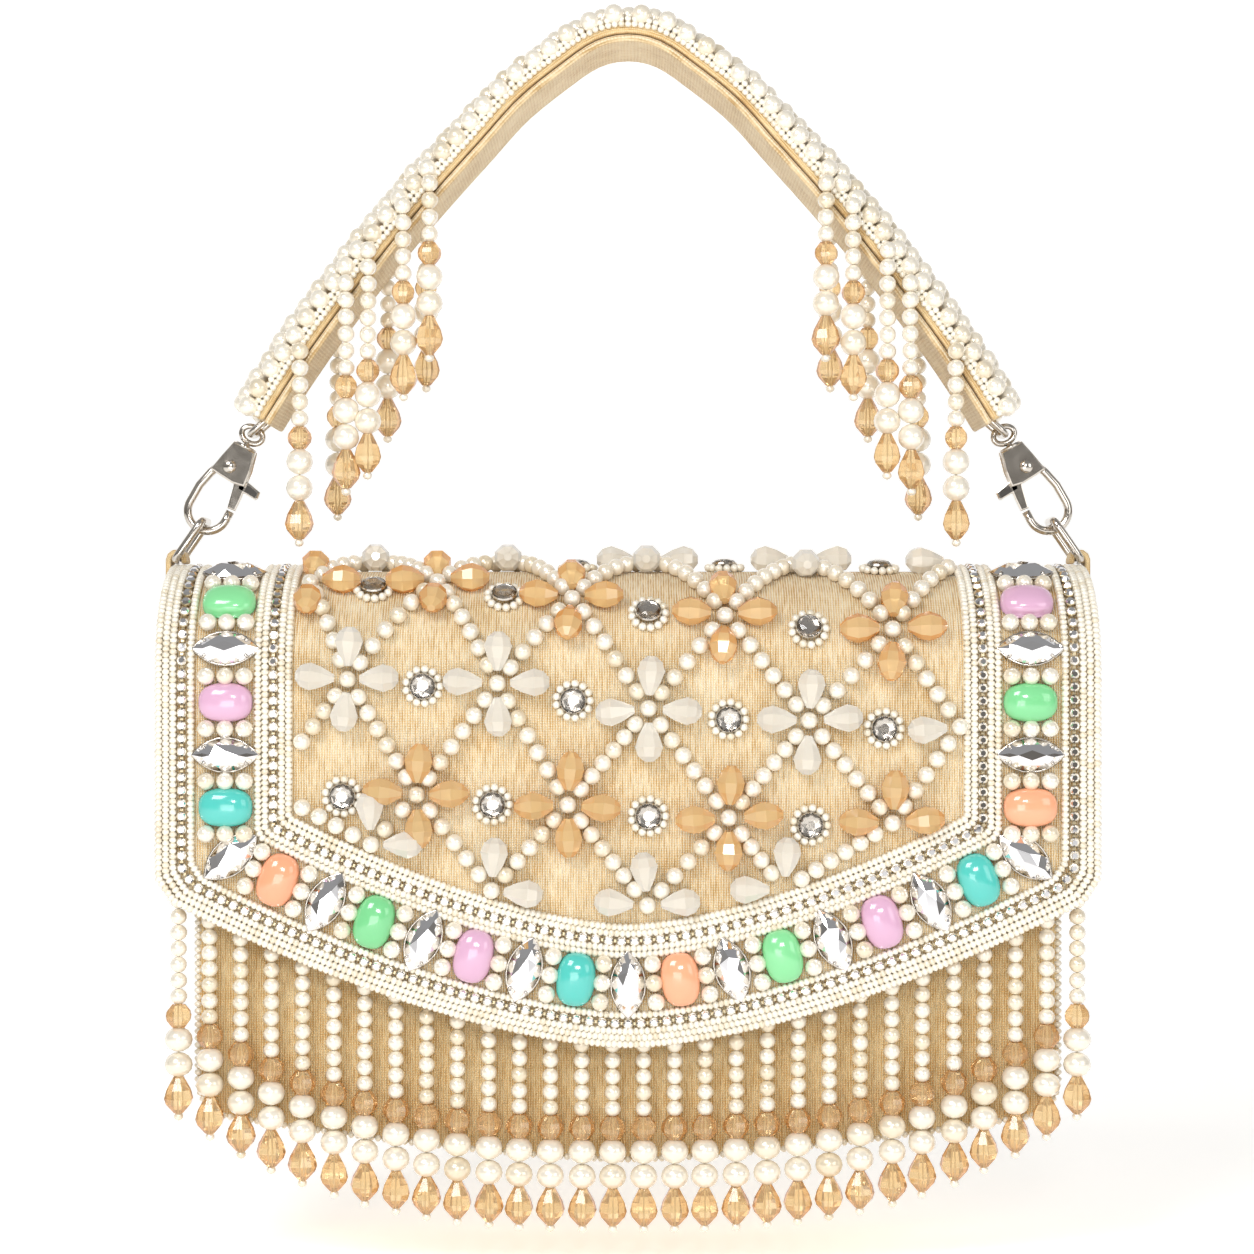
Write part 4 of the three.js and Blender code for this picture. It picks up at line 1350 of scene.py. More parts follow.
    def rosette_stones(self) -> bpy.types.Object:
        """Set a round foil-backed stone in each rosette."""
        wide = self.rosette_stone
        stone = gem(
            [
                ring_of(16, wide, wide, 1.9),
                ring_of(8, wide * 0.78, wide * 0.78, 2.6, 0.5),
                ring_of(8, wide * 0.42, wide * 0.42, 2.95),
                [(0, 0, 0.2)],
            ],
            1.88,
        )
        profile = [(0, 0.1), (0.4, 0.1), (0.54, 1.7), (0.51, 2.1), (0.45, 1.7)]
        cup = painted(turned([(share * wide, z) for share, z in profile], 16), 2)
        tray = Tray("rosette_stones", 22)
        seats = [self.form.flap.seat(x, s, 0.2, 0.3) for x, s in self.rosette_places()]
        tray.set(Stock(merged([stone, cup])), seats)
        return tray.piece([Finishes.CRYSTAL, Finishes.FOIL, Finishes.NICKEL])

    def rosette_rings(self) -> bpy.types.Object:
        """Stitch the ring of seeds round each stone."""
        tray = Tray("rosette_seeds", 23)
        bead = Stock(ball(2.15, 1.95, 8, 5))
        radius = self.rosette_ring / 2
        seats = []
        for x, s in self.rosette_places():
            for i in range(self.rosette_seeds):
                angle = math.tau * i / self.rosette_seeds
                here = (x + radius * math.cos(angle), s + radius * math.sin(angle))
                seat = self.form.flap.seat(*here, 0.95, angle + math.pi / 2)
                seats.append(seat @ ON_SIDE)
        tray.set(bead, seats)
        return tray.piece([Finishes.SEED])


# Bead strings
@dataclass(frozen=True)
class StringPattern:
    """The beads of one string, from its end bead up."""

    end_width: float = 2.4
    end_height: float = 2.0
    drop_width: float = 7.2
    drop_length: float = 8.8
    pearl_width: float = 6.8
    pearl_height: float = 6.05
    round_width: float = 6.4
    round_height: float = 5.6
    small_width: float = 4.1
    small_pitch: float = 3.85

    def heights(self) -> dict[str, list[float]]:
        """Return how high each bead's middle lies above the string's end."""
        drop = self.end_height * 0.9 + self.drop_length / 2
        first = drop + self.drop_length / 2 + self.pearl_height * 0.48
        second = first + self.pearl_height
        facet = second + self.pearl_height / 2 + self.round_height * 0.47
        return {"drop": [drop], "pearl": [first, second], "round": [facet]}


class StringSet:
    """Beads of many strings, gathered by kind."""

    thread = 0.44  # thickness

    def __init__(self, name: str, pattern: StringPattern, seed: int) -> None:
        """Start the set.

        Args:
            name: how its pieces' names begin.
            pattern: the beads of each string.
            seed: fixes their small differences.
        """
        self.name = name
        self.pattern = pattern
        self.chance = random.Random(seed)
        kinds = ("end", "drop", "pearl", "round", "small")
        self.seats: dict[str, list[Matrix]] = {kind: [] for kind in kinds}
        self.threads: list[tuple[Vector, Vector]] = []

    def hang(self, top: Vector, end_z: float) -> None:
        """Hang one string straight down from its top.

        Args:
            top: where it is sewn.
            end_z: height of its lower end.
        """
        pattern = self.pattern
        swing = self.chance.uniform(-0.25, 0.25)

        def at(height: float) -> Matrix:
            """Return the seat of a bead at a height above the end."""
            share = 1 - height / max(top.z - end_z, 1)
            spin = Matrix.Rotation(self.chance.uniform(0, math.tau), 4, "Z")
            return Matrix.Translation((top.x + swing * share, top.y, end_z + height)) @ spin

        self.seats["end"].append(at(pattern.end_height / 2))
        heights = pattern.heights()
        for kind, places in heights.items():
            self.seats[kind].extend(at(height) for height in places)
        start = heights["round"][0] + pattern.round_height / 2 + pattern.small_pitch * 0.48
        count = max(0, int((top.z - end_z - start) / pattern.small_pitch + 0.5))
        self.seats["small"].extend(at(start + i * pattern.small_pitch) for i in range(count + 1))
        self.threads.append((top, Vector((top.x + swing, top.y, end_z))))

    def build(self, replaces: Sequence[str]) -> list[bpy.types.Object]:
        """Write the set as pearls, cut glass and thread.

        Args:
            replaces: the frame's nodes that the pearls stand for.

        Returns:
            The pieces.
        """
        pattern = self.pattern
        pearls = Tray(f"{self.name}_pearls", 51)
        small_height = pattern.small_pitch * 1.03
        pearls.set(Stock(ball(pattern.pearl_width, pattern.pearl_height, 14, 8)), self.seats["pearl"])
        pearls.set(Stock(ball(pattern.small_width, small_height, 10, 7)), self.seats["small"])
        pearls.set(Stock(ball(pattern.end_width, pattern.end_height, 8, 5)), self.seats["end"])
        pear = [(0.32, -0.5), (0.86, -0.26), (1.0, -0.1), (0.84, 0.14), (0.34, 0.5)]
        barrel = [(0.5, -0.5), (0.93, -0.2), (1.0, 0), (0.93, 0.2), (0.5, 0.5)]
        glass = Tray(f"{self.name}_cut_glass", 52)
        glass.set(self.cut(pear, pattern.drop_width, pattern.drop_length), self.seats["drop"])
        glass.set(self.cut(barrel, pattern.round_width, pattern.round_height), self.seats["round"])
        threads = Tray(f"{self.name}_threads", 53)
        strand = bmesh.new()
        thin = self.thread / 2
        bmesh.ops.create_cone(strand, cap_ends=True, segments=6, radius1=thin, radius2=thin, depth=1)
        spans = []
        for top, end in self.threads:
            length = top.z - end.z
            spans.append(Matrix.Translation((top + end) / 2) @ Matrix.Diagonal((1, 1, length, 1)))
        threads.set(Stock(strand), spans)
        return [
            pearls.piece([Finishes.PEARL], replaces=replaces),
            glass.piece([Finishes.CHAMPAGNE]),
            threads.piece([Finishes.THREAD]),
        ]

    @staticmethod
    def cut(shares: Sequence[Place], width: float, length: float) -> Stock:
        """Cut a glass bead with eight sides.

        Args:
            shares: its profile, as shares of half its width and of its length, from the middle.
            width: its greatest width.
            length: its length.

        Returns:
            The bead.
        """
        profile = [(0, -0.5), *shares, (0, 0.5)]
        return Stock(turned([(radius * (width / 2), share * length) for radius, share in profile], 8))


@dataclass(frozen=True)
class FlapFringe:
    """The row of bead strings under the flap, on its tape."""

    border: BorderForm
    count: int = 30
    edge_inset: float = 4.8
    tip_z: float = -289.6
    corner_rise: float = 27.0
    bow: float = 2.8
    axis_y: float = -27.85
    tape_low: float = 3.0
    tape_high: float = 11.0
    tape_thick: float = 1.5

    def build(self) -> list[bpy.types.Object]:
        """Hang the strings and sew their tape."""
        half = self.border.flap.half_width - self.edge_inset
        strings = StringSet("fringe", StringPattern(), 61)
        edge = self.border.flap.spring_z
        for i in range(self.count):
            x = half * (2 * i / (self.count - 1) - 1)
            end_z = self.tip_z + self.corner_rise * abs(x / half) ** self.bow
            top = Vector((x, self.axis_y, edge + self.border.low(x, 0) + self.tape_low + 1))
            strings.hang(top, end_z)
        return [*strings.build(["flap_fringe"]), self.tape(half)]

    def tape(self, half: float) -> bpy.types.Object:
        """Sew the tape that holds the strings under the flap's edge."""
        length, high = 2 * half + 4, self.tape_high - self.tape_low
        shape = block(length, self.tape_thick, high)
        crease(shape, 0, -length / 2, length / 2, 4)
        lay_flat(shape, lambda point: (point.x, point.z))
        back = self.border.flap.front_y + self.border.flap.thick + 0.3 + self.tape_thick / 2
        edge = self.border.flap.spring_z + (self.tape_low + self.tape_high) / 2
        for vertex in shape.verts:
            vertex.co.y += back
            vertex.co.z += edge + self.border.low(vertex.co.x, 0)
        return sewn("fringe_tape", shape, Finishes.CORD)


# Handle
def strap(
    line: FlatLine, width: float, low: float, high: float, step: float, reach: float
) -> bmesh.types.BMesh:
    """Cut a strip with rounded edges and bend it along a line in X and Z.

    Args:
        line: the line.
        width: its width, from front to back.
        low: offset of its inner face from the line, outwards.
        high: offset of its outer face.
        step: distance between its creases.
        reach: half the length over which each bend is measured.

    Returns:
        The strip, with its flat coordinates.
    """
    shape = block(line.length, width, high - low)
    bmesh.ops.translate(shape, vec=(line.length / 2, 0, (low + high) / 2), verts=shape.verts)
    rounded(shape, shape.edges[:], (high - low) * 0.4, 3)
    crease(shape, 0, 0, line.length, step)
    crease(shape, 1, -width / 2, width / 2, width / 8)
    lay_flat(shape, lambda point: (point.y + point.z, point.x))
    for vertex in shape.verts:
        distance, y, offset = vertex.co
        x, z = line.place(distance)
        angle = line.heading(distance, reach)
        vertex.co = (x - math.sin(angle) * offset, y, z + math.cos(angle) * offset)
    return shape


@dataclass(frozen=True)
class Handle:
    """The two-layer handle: a pearl-covered band over a brocade lining, with tassels on both flanks."""

    half_span: float = 89.6
    rise: float = 95.3
    width: float = 28.0
    lining: float = 1.7  # thickness of the lower layer
    slit: float = 0.4  # gap between the layers
    band: float = 2.5  # thickness of the upper layer
    pearl: float = 5.0
    pearl_pitch: float = 5.15
    peak_lift: float = 2.0  # height of the pearls' middles above the band, at the peak
    seed: float = 1.75
    padding: float = 1.6
    padding_inset: float = 2.0
    steps: int = 96
    bend_reach: float = 1.5  # half the length over which a bend is measured

    @cached_property
    def path(self) -> FlatLine:
        """The slit's line in X and Z, from left to right."""
        out = (0, 0.09, 0.185, 0.3, 0.405, 0.515, 0.625, 0.735, 0.85, 0.94, 1)
        down = (0, 0.018, 0.078, 0.166, 0.275, 0.39, 0.51, 0.64, 0.785, 0.91, 1)
        top = self.lining + self.slit / 2
        half = [Vector((x * self.half_span, top - z * self.rise)) for x, z in zip(out, down)]
        knots = [Vector((-p.x, p.y)) for p in reversed(half[1:])] + half
        fine = []
        for i in range(len(knots) - 1):
            a, b, c, d = (knots[min(max(i + n, 0), len(knots) - 1)] for n in (-1, 0, 1, 2))
            for k in range(12):
                t = k / 12
                straight = (2 * b) + (c - a) * t
                bend = straight + (2 * a - 5 * b + 4 * c - d) * t**2 + (3 * b - a - 3 * c + d) * t**3
                fine.append(bend / 2)
        return FlatLine([*(tuple(p) for p in fine), tuple(knots[-1])])

    def point(self, distance: float, y: float, offset: float) -> Vector:
        """Find a point beside the slit.

        Args:
            distance: place along it.
            y: place across the handle's width.
            offset: distance outwards from it.

        Returns:
            The point.
        """
        x, z = self.path.place(distance)
        angle = self.path.heading(distance, self.bend_reach)
        return Vector((x - math.sin(angle) * offset, y, z + math.cos(angle) * offset))

    def seat(self, distance: float, y: float, offset: float, spin: float = 0.0) -> Matrix:
        """Find how a bead sits on the handle, with X along it and Z outwards."""
        turn = Matrix.Rotation(-self.path.heading(distance, self.bend_reach), 4, "Y")
        return Matrix.Translation(self.point(distance, y, offset)) @ turn @ Matrix.Rotation(spin, 4, "Z")

    def distance_at(self, x: float) -> float:
        """Return the place along the slit at x."""
        return float(np.interp(x, self.path.points[:, 0], self.path.lengths))

    def build(self) -> list[bpy.types.Object]:
        """Make the layers, the beads on them and the tassels."""
        low, outer = self.slit / 2, self.outer
        band = self.layer(self.width, low, outer)
        lining = self.layer(self.width, -low - self.lining, -low)
        padding = self.layer(self.width - 2 * self.padding_inset, outer - 0.2, outer + self.padding)
        return [
            sewn("handle_band_silk", band, Finishes.CORD, ["handle_band"]),
            sewn("handle_lining_brocade", lining, Finishes.BROCADE, ["handle_lining"]),
            sewn("handle_padding_silk", padding, Finishes.CORD),
            self.pearls(),
            self.seeds(),
            *self.tassels(),
        ]

    @property
    def outer(self) -> float:
        """Offset of the band's outer face from the slit."""
        return self.slit / 2 + self.band

    def layer(self, width: float, low: float, high: float) -> bmesh.types.BMesh:
        """Bend a layer of the handle, of a width and between two offsets outwards from the slit."""
        return strap(self.path, width, low, high, self.path.length / self.steps, self.bend_reach)

    def pearls(self) -> bpy.types.Object:
        """Cover the band's outer face with rows of pearls, each row half a step from the last."""
        tray = Tray("handle_pearls", 71)
        pearl = Stock(ball(self.pearl, self.pearl, 12, 8))
        low = self.peak_lift
        half = [(5.4, 4.7), (10.2, 4.3), (13.6, 2.2)]  # place across and height at the ends of a row
        rows = [*((-y, height) for y, height in reversed(half)), (0, 4.8), *half]
        seats = []
        for row, (y, height) in enumerate(rows):
            start = self.pearl * (0.5 if row % 2 else 0.1) + 1
            count = int((self.path.length - 2 * start) / self.pearl_pitch)
            for i in range(count + 1):
                distance = start + (self.path.length - 2 * start) * i / count
                nudge = tray.chance.uniform(-0.3, 0.3)
                slope = min(1.0, 2.2 * abs(2 * distance / self.path.length - 1))
                base = self.outer + low + (height - low) * slope + tray.chance.uniform(-0.2, 0.3)
                seats.append(self.seat(distance + nudge, y + nudge, base))
        tray.set(pearl, seats)
        return tray.piece([Finishes.PEARL])

    def seeds(self) -> bpy.types.Object:
        """Stitch two rows of seeds along each edge of the band."""
        tray = Tray("handle_edge_seeds", 72)
        bead = Stock(ball(self.seed, self.seed * 0.95, 7, 5))
        seats = []
        edge = self.width / 2
        count = int(self.path.length / (self.seed * 0.84))
        for side in (-1, 1):
            for y, offset in ((edge + 0.45, self.outer - 0.5), (edge + 0.3, self.outer + 0.85)):
                for i in range(count):
                    distance = 1 + (self.path.length - 2) * i / (count - 1)
                    wobble = tray.chance.uniform(-0.12, 0.12)
                    seats.append(self.seat(distance, side * y, offset + wobble) @ ON_SIDE)
        tray.set(bead, seats)
        return tray.piece([Finishes.SEED])

    def tassels(self) -> list[bpy.types.Object]:
        """Hang the strings beside both flanks on both sides."""
        # Place out from the peak and depth of the lower end, as shares of the half span and the rise
        rows = {
            -1: [(0.525, 0.829), (0.598, 0.93), (0.692, 1.131), (0.753, 1.172), (0.877, 1.303)],
            1: [(0.56, 0.881), (0.666, 1.016), (0.81, 1.225)],
        }
        pattern = StringPattern(
            drop_length=9.4,
            drop_width=7.1,
            pearl_width=6.6,
            pearl_height=6.5,
            round_width=5.9,
            round_height=5.4,
            small_width=4.3,
            small_pitch=4.15,
        )
        made = []
        for label, mirror in (("left", -1), ("right", 1)):
            strings = StringSet(f"tassel_{label}", pattern, 81 + mirror)
            for flank, places in rows.items():
                y = flank * (self.width / 2 + 0.3 + pattern.small_width / 2)
                for out, end in places:
                    x = mirror * out * self.half_span
                    top = self.point(self.distance_at(x), y, self.slit / 2 + self.band * 0.7)
                    strings.hang(top, -end * self.rise)
            nodes = [f"handle_fringe_{label}_{flank}" for flank in ("front", "rear")]
            made.extend(strings.build(nodes))
        return made


# Hardware
@dataclass(frozen=True)
class Side:
    """One end of the handle: its snap hook, rings and tab.

    Shapes are drawn for the left and mirrored for the right. The hook's own frame has x inwards, y to the back
    and z up its long axis, from the middle of its swivel eye.
    """

    label: str
    handle: Handle
    eye_x: float = -94.2
    eye_z: float = -96.4
    lean: float = math.radians(28)
    thick: float = 4.8
    top_half: float = 3.0
    shoulder_half: float = 5.0
    plate_top: float = -2.8
    plate_low: float = -11.7
    slot_top: float = -6.7
    bow_half: float = 6.1
    bow_shift: float = 0.9
    bow_low: float = -27.4
    wire: float = 2.15
    nose: float = -18.4
    gate_thick: float = 1.6
    pivot_x: float = -1.0
    pivot_z: float = -8.9
    hub: float = 2.0
    eye_size: tuple[float, float] = (7.0, 5.6)
    eye_wire: float = 1.5
    eye_lift: float = 0.6
    pin: float = 1.6
    pin_low: float = -6.0
    pin_head: float = 2.8
    pin_head_thick: float = 1.1
    ring_gap: float = 0.3
    strap_ring: tuple[float, float, float] = (1.7, 10.0, 2.2)  # wire, width and corner radius
    side_ring: tuple[float, float, float] = (2.0, 12.0, 2.0)
    tab_width: float = 7.0
    tab_thick: float = 1.4
    tab_root: float = -165.0
    body_half: float = 104.5
    flap_half: float = 113.0
    trim_top: float = -128.4

    def out(self, x: float, z: float, y: float = 0.0) -> Vector:
        """Return the place on the left side of a point in the hook's frame."""
        cos, sin = math.cos(self.lean), math.sin(self.lean)
        return Vector((self.eye_x + x * cos + z * sin, y, self.eye_z - x * sin + z * cos))

    @property
    def bow_radius(self) -> float:
        """Radius of the bow's centre line."""
        return self.bow_half - self.wire / 2

    @property
    def bow_z(self) -> float:
        """Height of the bow's centre in the hook's frame."""
        return self.bow_low + self.bow_half

    def build(self) -> list[bpy.types.Object]:
        """Make both rings, the tab, the swivel eye, the hook and its gate."""
        slit = self.handle.path
        turn_in = slit.place(slit.length * 0.7 / 52)
        top = Vector((turn_in[0], 0, turn_in[1]))
        over = self.ring_gap + self.side_ring[0] / 2
        bow = self.out(-self.bow_shift / 3, self.bow_low + self.wire + over)
        tab = Vector((-self.flap_half + 0.6, 0, self.trim_top + over))
        return [
            self.write("strap_ring", BAG, self.ring(top, self.out(0, self.eye_lift), self.strap_ring)),
            self.write("side_ring", BAG, self.ring(bow, tab, self.side_ring)),
            self.write("swivel_eye", BAG, self.eye()),
            self.write("hook_frame", f"hook_{self.label}", self.frame()),
            self.write("hook_gate", f"gate_{self.label}", self.gate()),
            self.tab(tab),
        ]

    def mirror(self, shape: bmesh.types.BMesh) -> None:
        """Turn a left shape into the right one where this is the right side."""
        if self.label == "right":
            bmesh.ops.scale(shape, vec=(-1, 1, 1), verts=shape.verts)
            bmesh.ops.reverse_faces(shape, faces=shape.faces)

    def write(self, node: str, body: str, shape: bmesh.types.BMesh) -> bpy.types.Object:
        """Write a metal piece in place of a node of the frame."""
        self.mirror(shape)
        to_metres(shape)
        name = f"{node}_nickel_{self.label}"
        finishes = [Finishes.NICKEL, Finishes.ENAMEL]
        return settle(name, written(name, shape), finishes, body, [f"{node}_{self.label}"])

    def placed(self, shape: bmesh.types.BMesh) -> bmesh.types.BMesh:
        """Move a shape from the hook's frame to the left side."""
        for vertex in shape.verts:
            vertex.co = self.out(vertex.co.x, vertex.co.z, vertex.co.y)
        return shape

    @staticmethod
    def ring(upper: Vector, lower: Vector, size: tuple[float, float, float]) -> bmesh.types.BMesh:
        """Bend a four-sided ring between two bars that run from front to back.

        Args:
            upper: middle of its upper bar.
            lower: middle of its lower bar.
            size: its wire, width and corner radius.

        Returns:
            The ring.
        """
        thick, width, corner = size
        down = (lower - upper).normalized()
        side, end = width / 2 - corner, (lower - upper).length - corner
        points = []
        corners = [(side, end), (-side, end), (-side, corner), (side, corner)]
        for quarter, (y, along) in enumerate(corners):
            for i in range(7):
                angle = math.pi / 2 * (quarter + i / 6)
                place = upper + down * (along + corner * math.sin(angle))
                points.append(Vector((place.x, y + corner * math.cos(angle), place.z)))
        return wire(points, thick, True, 16)

    def eye(self) -> bmesh.types.BMesh:
        """Bend the swivel eye and turn its headed pin."""
        half, tall = (size / 2 - self.eye_wire / 2 for size in self.eye_size)
        angles = [math.tau * i / 40 for i in range(40)]
        loop = [Vector((half * math.cos(a), 0, self.eye_lift + tall * math.sin(a))) for a in angles]
        head, pin = self.pin_head / 2, self.pin / 2
        low, neck = self.pin_low, self.pin_low + self.pin_head_thick
        profile = [(0, low), (head, low), (head, neck), (pin, neck), (pin, self.eye_lift - tall), (0, -1)]
        return self.placed(merged([wire(loop, self.eye_wire, True, 14), smooth(turned(profile, 20))]))

    def frame(self) -> bmesh.types.BMesh:
        """Make the hook's two cheeks, its collar, its bow and its plain rivet."""
        wide, low, slot = self.shoulder_half, self.plate_low, self.slot_top
        outline = [
            (-self.top_half, self.plate_top),
            (-wide * 0.82, low * 0.62),
            (-wide, low),
            (-wide * 0.5, low - 0.3),
            (wide * 0.3, low - 0.6),
            (wide * 0.92, low),
            (wide * 0.84, low * 0.66),
            (self.top_half, self.plate_top),
        ]
        gap = self.gate_thick / 2 + 0.3
        cheek = self.thick / 2 - gap
        parts = []
        for side in (-1, 1):
            part = plate(outline, cheek, 0.45)
            bmesh.ops.translate(part, vec=(0, side * (gap + cheek / 2), 0), verts=part.verts)
            parts.append(part)
        core = [
            (-self.top_half, self.plate_top),
            (-wide + 0.3, low + 0.4),
            (-3.4, low),
            (-3.4, slot),
            (3.6, slot),
            (self.top_half, self.plate_top),
        ]
        parts.append(plate([(x * 0.97, z - 0.1) for x, z in core], 2 * gap + 0.4, 0.05))
        collar = [(0.9, -3.2), (2.7, -3.2), (2.9, -2.8), (2.7, -2.35), (1.1, -2.3), (0.9, -2.6)]
        parts.append(smooth(turned(collar, 24)))
        parts.append(self.bow())
        rivet = [(0, -0.5), (1.7, -0.5), (1.7, -0.1), (1.55, 0.2), (1.0, 0.5), (0, 0.6)]
        for side in (-1, 1):
            head = spun(smooth(turned(rivet, 24)), -side * 90, "X")
            place = (self.pivot_x, side * (self.thick / 2), self.pivot_z)
            bmesh.ops.translate(head, vec=place, verts=head.verts)
            parts.append(head)
        return self.placed(merged(parts))

    def bow(self) -> bmesh.types.BMesh:
        """Bend the hook's wire from between its cheeks down and round to the gate's nose."""
        wide, low = self.shoulder_half, self.plate_low
        points = [
            (-wide * 0.75, low + 1.5),
            (-wide * 0.95, low - 0.6),
            (-self.bow_shift - self.bow_radius * 0.97, (self.bow_z + low) / 2),
        ]
        for i in range(25):
            angle = math.pi * (1 + i / 24)
            x = -self.bow_shift + self.bow_radius * math.cos(angle)
            points.append((x, self.bow_z + self.bow_radius * math.sin(angle)))
        points.append((-self.bow_shift + self.bow_radius, self.nose - 0.4))
        return wire([Vector((x, 0, z)) for x, z in points], self.wire, False, 16)

    def gate(self) -> bmesh.types.BMesh:
        """Make the sprung gate: its arm, its hub and the thumb lever with a dark inlay."""
        wide, low = self.shoulder_half, self.plate_low
        nose_x = self.bow_radius - self.bow_shift
        inner, outer = nose_x - self.wire / 2, nose_x + self.wire / 2
        arm = [
            (1.0, low + 1.0),
            (1.9, low - 1.3),
            (inner, self.nose),
            (outer, self.nose + 0.2),
            (outer - 0.1, (self.nose + low) / 2),
            (wide - 0.2, low),
            (-self.pivot_x, self.pivot_z + self.hub * 0.8),
        ]
        lever = [
            (wide * 0.5, low + 1.9),
            (wide * 0.6, low - 1.4),
            (wide * 1.68, low - 1.7),
            (wide * 1.75, low - 1.1),
            (wide * 1.72, low + 0.6),
        ]
        inlay = [
            (wide * 0.98, low + 0.75),
            (wide * 0.98, low - 1.0),
            (wide * 1.6, low - 1.15),
            (wide * 1.6, low + 0.25),
        ]
        angles = [math.tau * i / 20 for i in range(20)]
        x, z, radius = self.pivot_x, self.pivot_z, self.hub
        hub = [(x + radius * math.cos(a), z + radius * math.sin(a)) for a in angles]
        metal = [plate(form, self.gate_thick, edge) for form, edge in ((arm, 0.4), (lever, 0.35), (hub, 0.2))]
        dark = painted(plate(inlay, self.gate_thick + 0.24, 0.05), 1)
        return self.placed(merged([*metal, dark]))

    def tab(self, bar: Vector) -> bpy.types.Object:
        """Sew the silk tab, from the gusset up and round the ring's bar."""
        reach = self.side_ring[0] / 2 + self.ring_gap + self.tab_thick / 2
        root = -(self.body_half + self.ring_gap + self.tab_thick / 2)
        out = bar.x - reach
        run = [(root, 0), (root, 6), ((root + out) / 2, 12), (out, 18)]
        path = [*((x, self.tab_root + up) for x, up in run), (out, bar.z)]
        for i in range(1, 11):
            angle = math.pi * (1 - i / 12)
            path.append((bar.x + reach * math.cos(angle), bar.z + reach * math.sin(angle)))
        path.append((bar.x + reach, self.trim_top + self.ring_gap))
        half = self.tab_thick / 2
        shape = strap(FlatLine(path), self.tab_width, -half, half, 1.2, 0.6)
        self.mirror(shape)
        return sewn(f"side_tab_silk_{self.label}", shape, Finishes.CORD, [f"side_tab_{self.label}"])


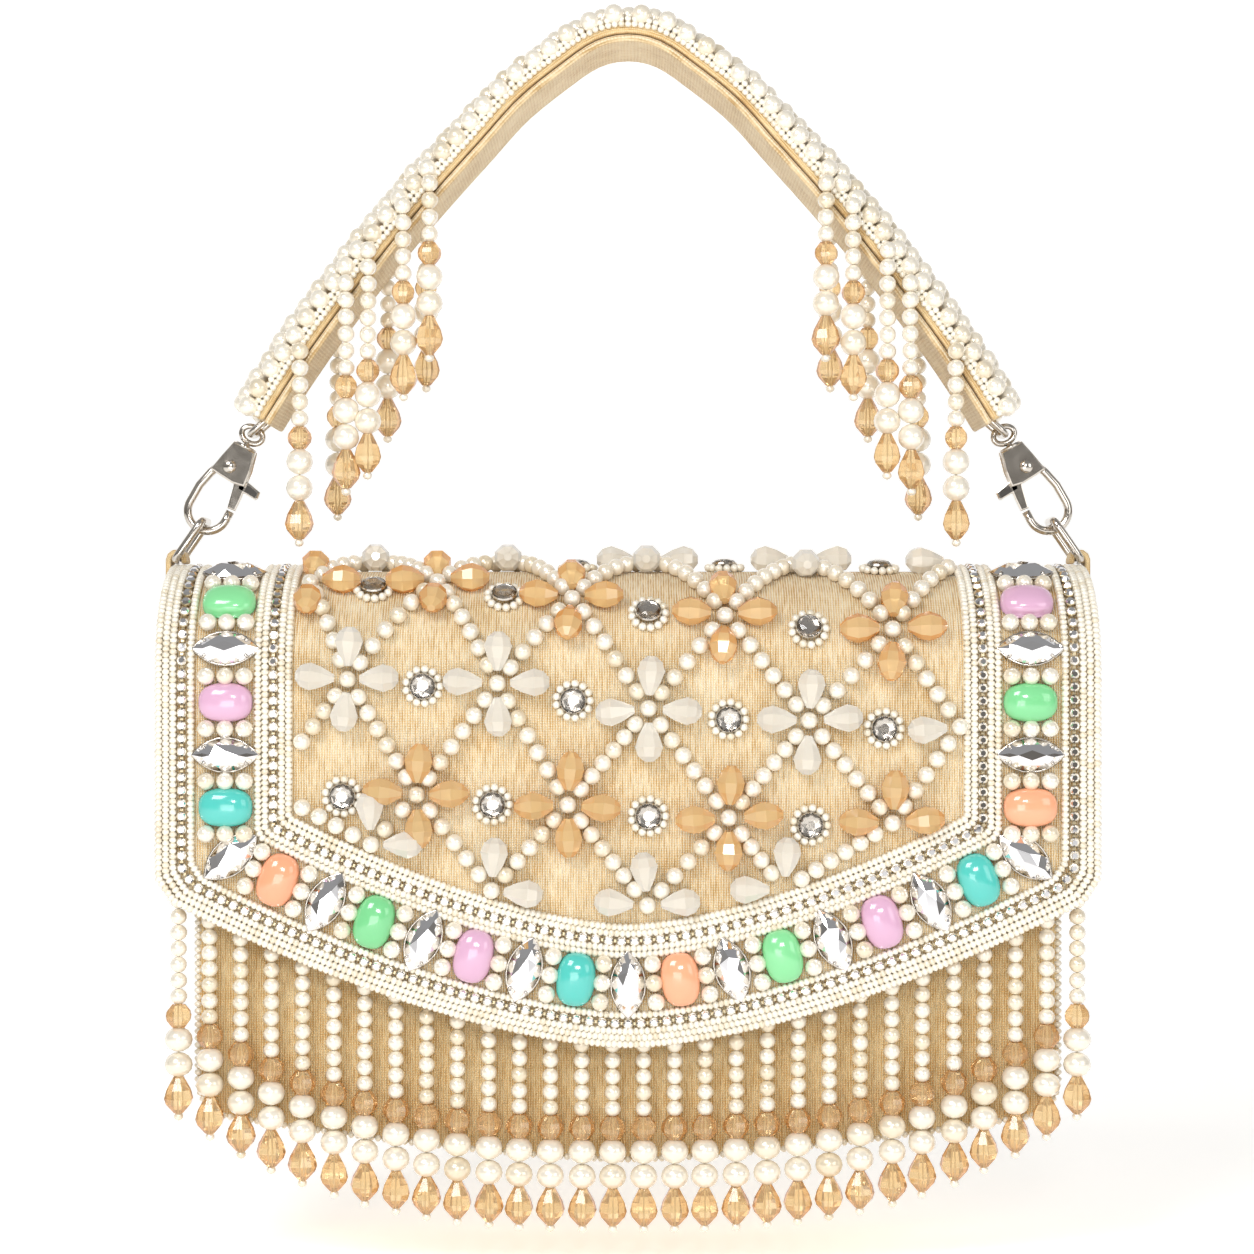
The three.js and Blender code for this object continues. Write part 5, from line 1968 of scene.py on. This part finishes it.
# Studio
@dataclass(frozen=True)
class Studio:
    """Pale table and backdrop, soft lights and the camera."""

    floor_z: float = -0.2966
    camera_at: tuple[float, float, float] = (-0.00025, -0.760, -0.1438)
    lens: float = 87.3
    key_size: float = 0.4
    key_power: float = 4.8
    fill_power: float = 1.1
    glint_power: float = 1.6
    sky: float = 0.32
    paper_glow: float = 0.38

    def build(self) -> None:
        """Set up everything that isn't the bag."""
        scene = bpy.context.scene
        scene.view_settings.view_transform = "Standard"
        camera = bpy.data.objects.new("camera", bpy.data.cameras.new("camera"))
        camera.location = self.camera_at
        camera.rotation_euler = (math.pi / 2, 0, 0)
        camera.data.lens = self.lens
        camera.data.sensor_width = 36
        scene.collection.objects.link(camera)
        scene.camera = camera
        self.light("key", (-0.4, -0.75, 0.45), self.key_size, self.key_power)
        self.light("fill", (0.6, -0.6, 0.05), 0.4, self.fill_power)
        self.light("glint", (0.05, -0.95, 0.12), 0.16, self.glint_power)
        self.light("low_fill", (-0.1, -0.8, -0.28), 0.3, self.fill_power)
        self.world()
        self.backdrop()

    @staticmethod
    def light(name: str, place: tuple[float, float, float], size: float, power: float) -> None:
        """Hang a square soft light that points at the bag's middle.

        Args:
            name: its name.
            place: where it hangs, in metres.
            size: length of its sides.
            power: its strength in watts.
        """
        lamp = bpy.data.lights.new(name, "AREA")
        lamp.size = size
        lamp.energy = power
        made = bpy.data.objects.new(name, lamp)
        made.location = place
        made.rotation_euler = (Vector((0, 0, -0.15)) - Vector(place)).to_track_quat("-Z", "Y").to_euler()
        bpy.context.scene.collection.objects.link(made)

    def world(self) -> None:
        """Light the room: bright above and around, darker low down in front, for the facets to pick up."""
        world = bpy.data.worlds.new("studio")
        bpy.context.scene.world = world
        world.use_nodes = True
        tree = world.node_tree
        place = add_node(tree, "TexCoord")
        split = add_node(tree, "SeparateXYZ", {"Vector": place.outputs["Generated"]})
        height = add_node(tree, "MapRange", {"Value": split.outputs["Z"]}, From_Min=-0.5, From_Max=0.6)
        stops = [(0.0, "#6B655C"), (0.42, "#B9B3AA"), (0.62, "#F2F0EC"), (1.0, "#FFFFFF")]
        tone = add_node(tree, "ValToRGB", {"Fac": height.outputs["Result"]}, stops)
        shader = tree.nodes["Background"]
        tree.links.new(tone.outputs["Color"], shader.inputs["Color"])
        shader.inputs["Strength"].default_value = self.sky

    def backdrop(self) -> bpy.types.Object:
        """Roll a sheet of pale paper from the table up behind the bag."""
        radius, front, back, wide, top = 0.5, -1.6, 0.9, 2.4, 1.6
        profile = [(front, self.floor_z), (back - radius, self.floor_z)]
        for i in range(1, 13):
            angle = math.pi / 2 * i / 12
            y = back - radius + radius * math.sin(angle)
            profile.append((y, self.floor_z + radius * (1 - math.cos(angle))))
        profile.append((back, top))
        shape = bmesh.new()
        rows = [[shape.verts.new((x, y, z)) for x in (-wide, wide)] for y, z in profile]
        for (a, b), (c, d) in zip(rows, rows[1:]):
            shape.faces.new((a, b, d, c))
        mesh = written("paper_sweep", smooth(shape))
        paper = Finish("pale_paper", "#FBFAF8", 0.9).material()
        shader = paper.node_tree.nodes["Principled BSDF"]
        shader.inputs["Emission Color"].default_value = linear("#FFFFFF")
        shader.inputs["Emission Strength"].default_value = self.paper_glow
        mesh.materials.append(paper)
        sweep = bpy.data.objects.new("paper_sweep", mesh)
        bpy.context.scene.collection.objects.link(sweep)
        return sweep


def main() -> None:
    """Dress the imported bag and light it."""
    logging.basicConfig(level=logging.INFO, format="%(message)s")
    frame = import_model()
    flap = FlapForm.from_frame()
    border = BorderForm(flap)
    body = BagBody.from_frame()
    SilkFlap(border).build()
    body.build()
    body.piping()
    Border(border).build()
    PearlField(border).build()
    FlapFringe(border).build()
    handle = Handle()
    handle.build()
    for label in ("left", "right"):
        Side(label, handle).build()
    snap = frame["nodes"]["magnet_snap"].data.materials
    snap.clear()
    snap.append(Finishes.NICKEL.material())
    Studio().build()


if __name__ == "__main__":
    main()
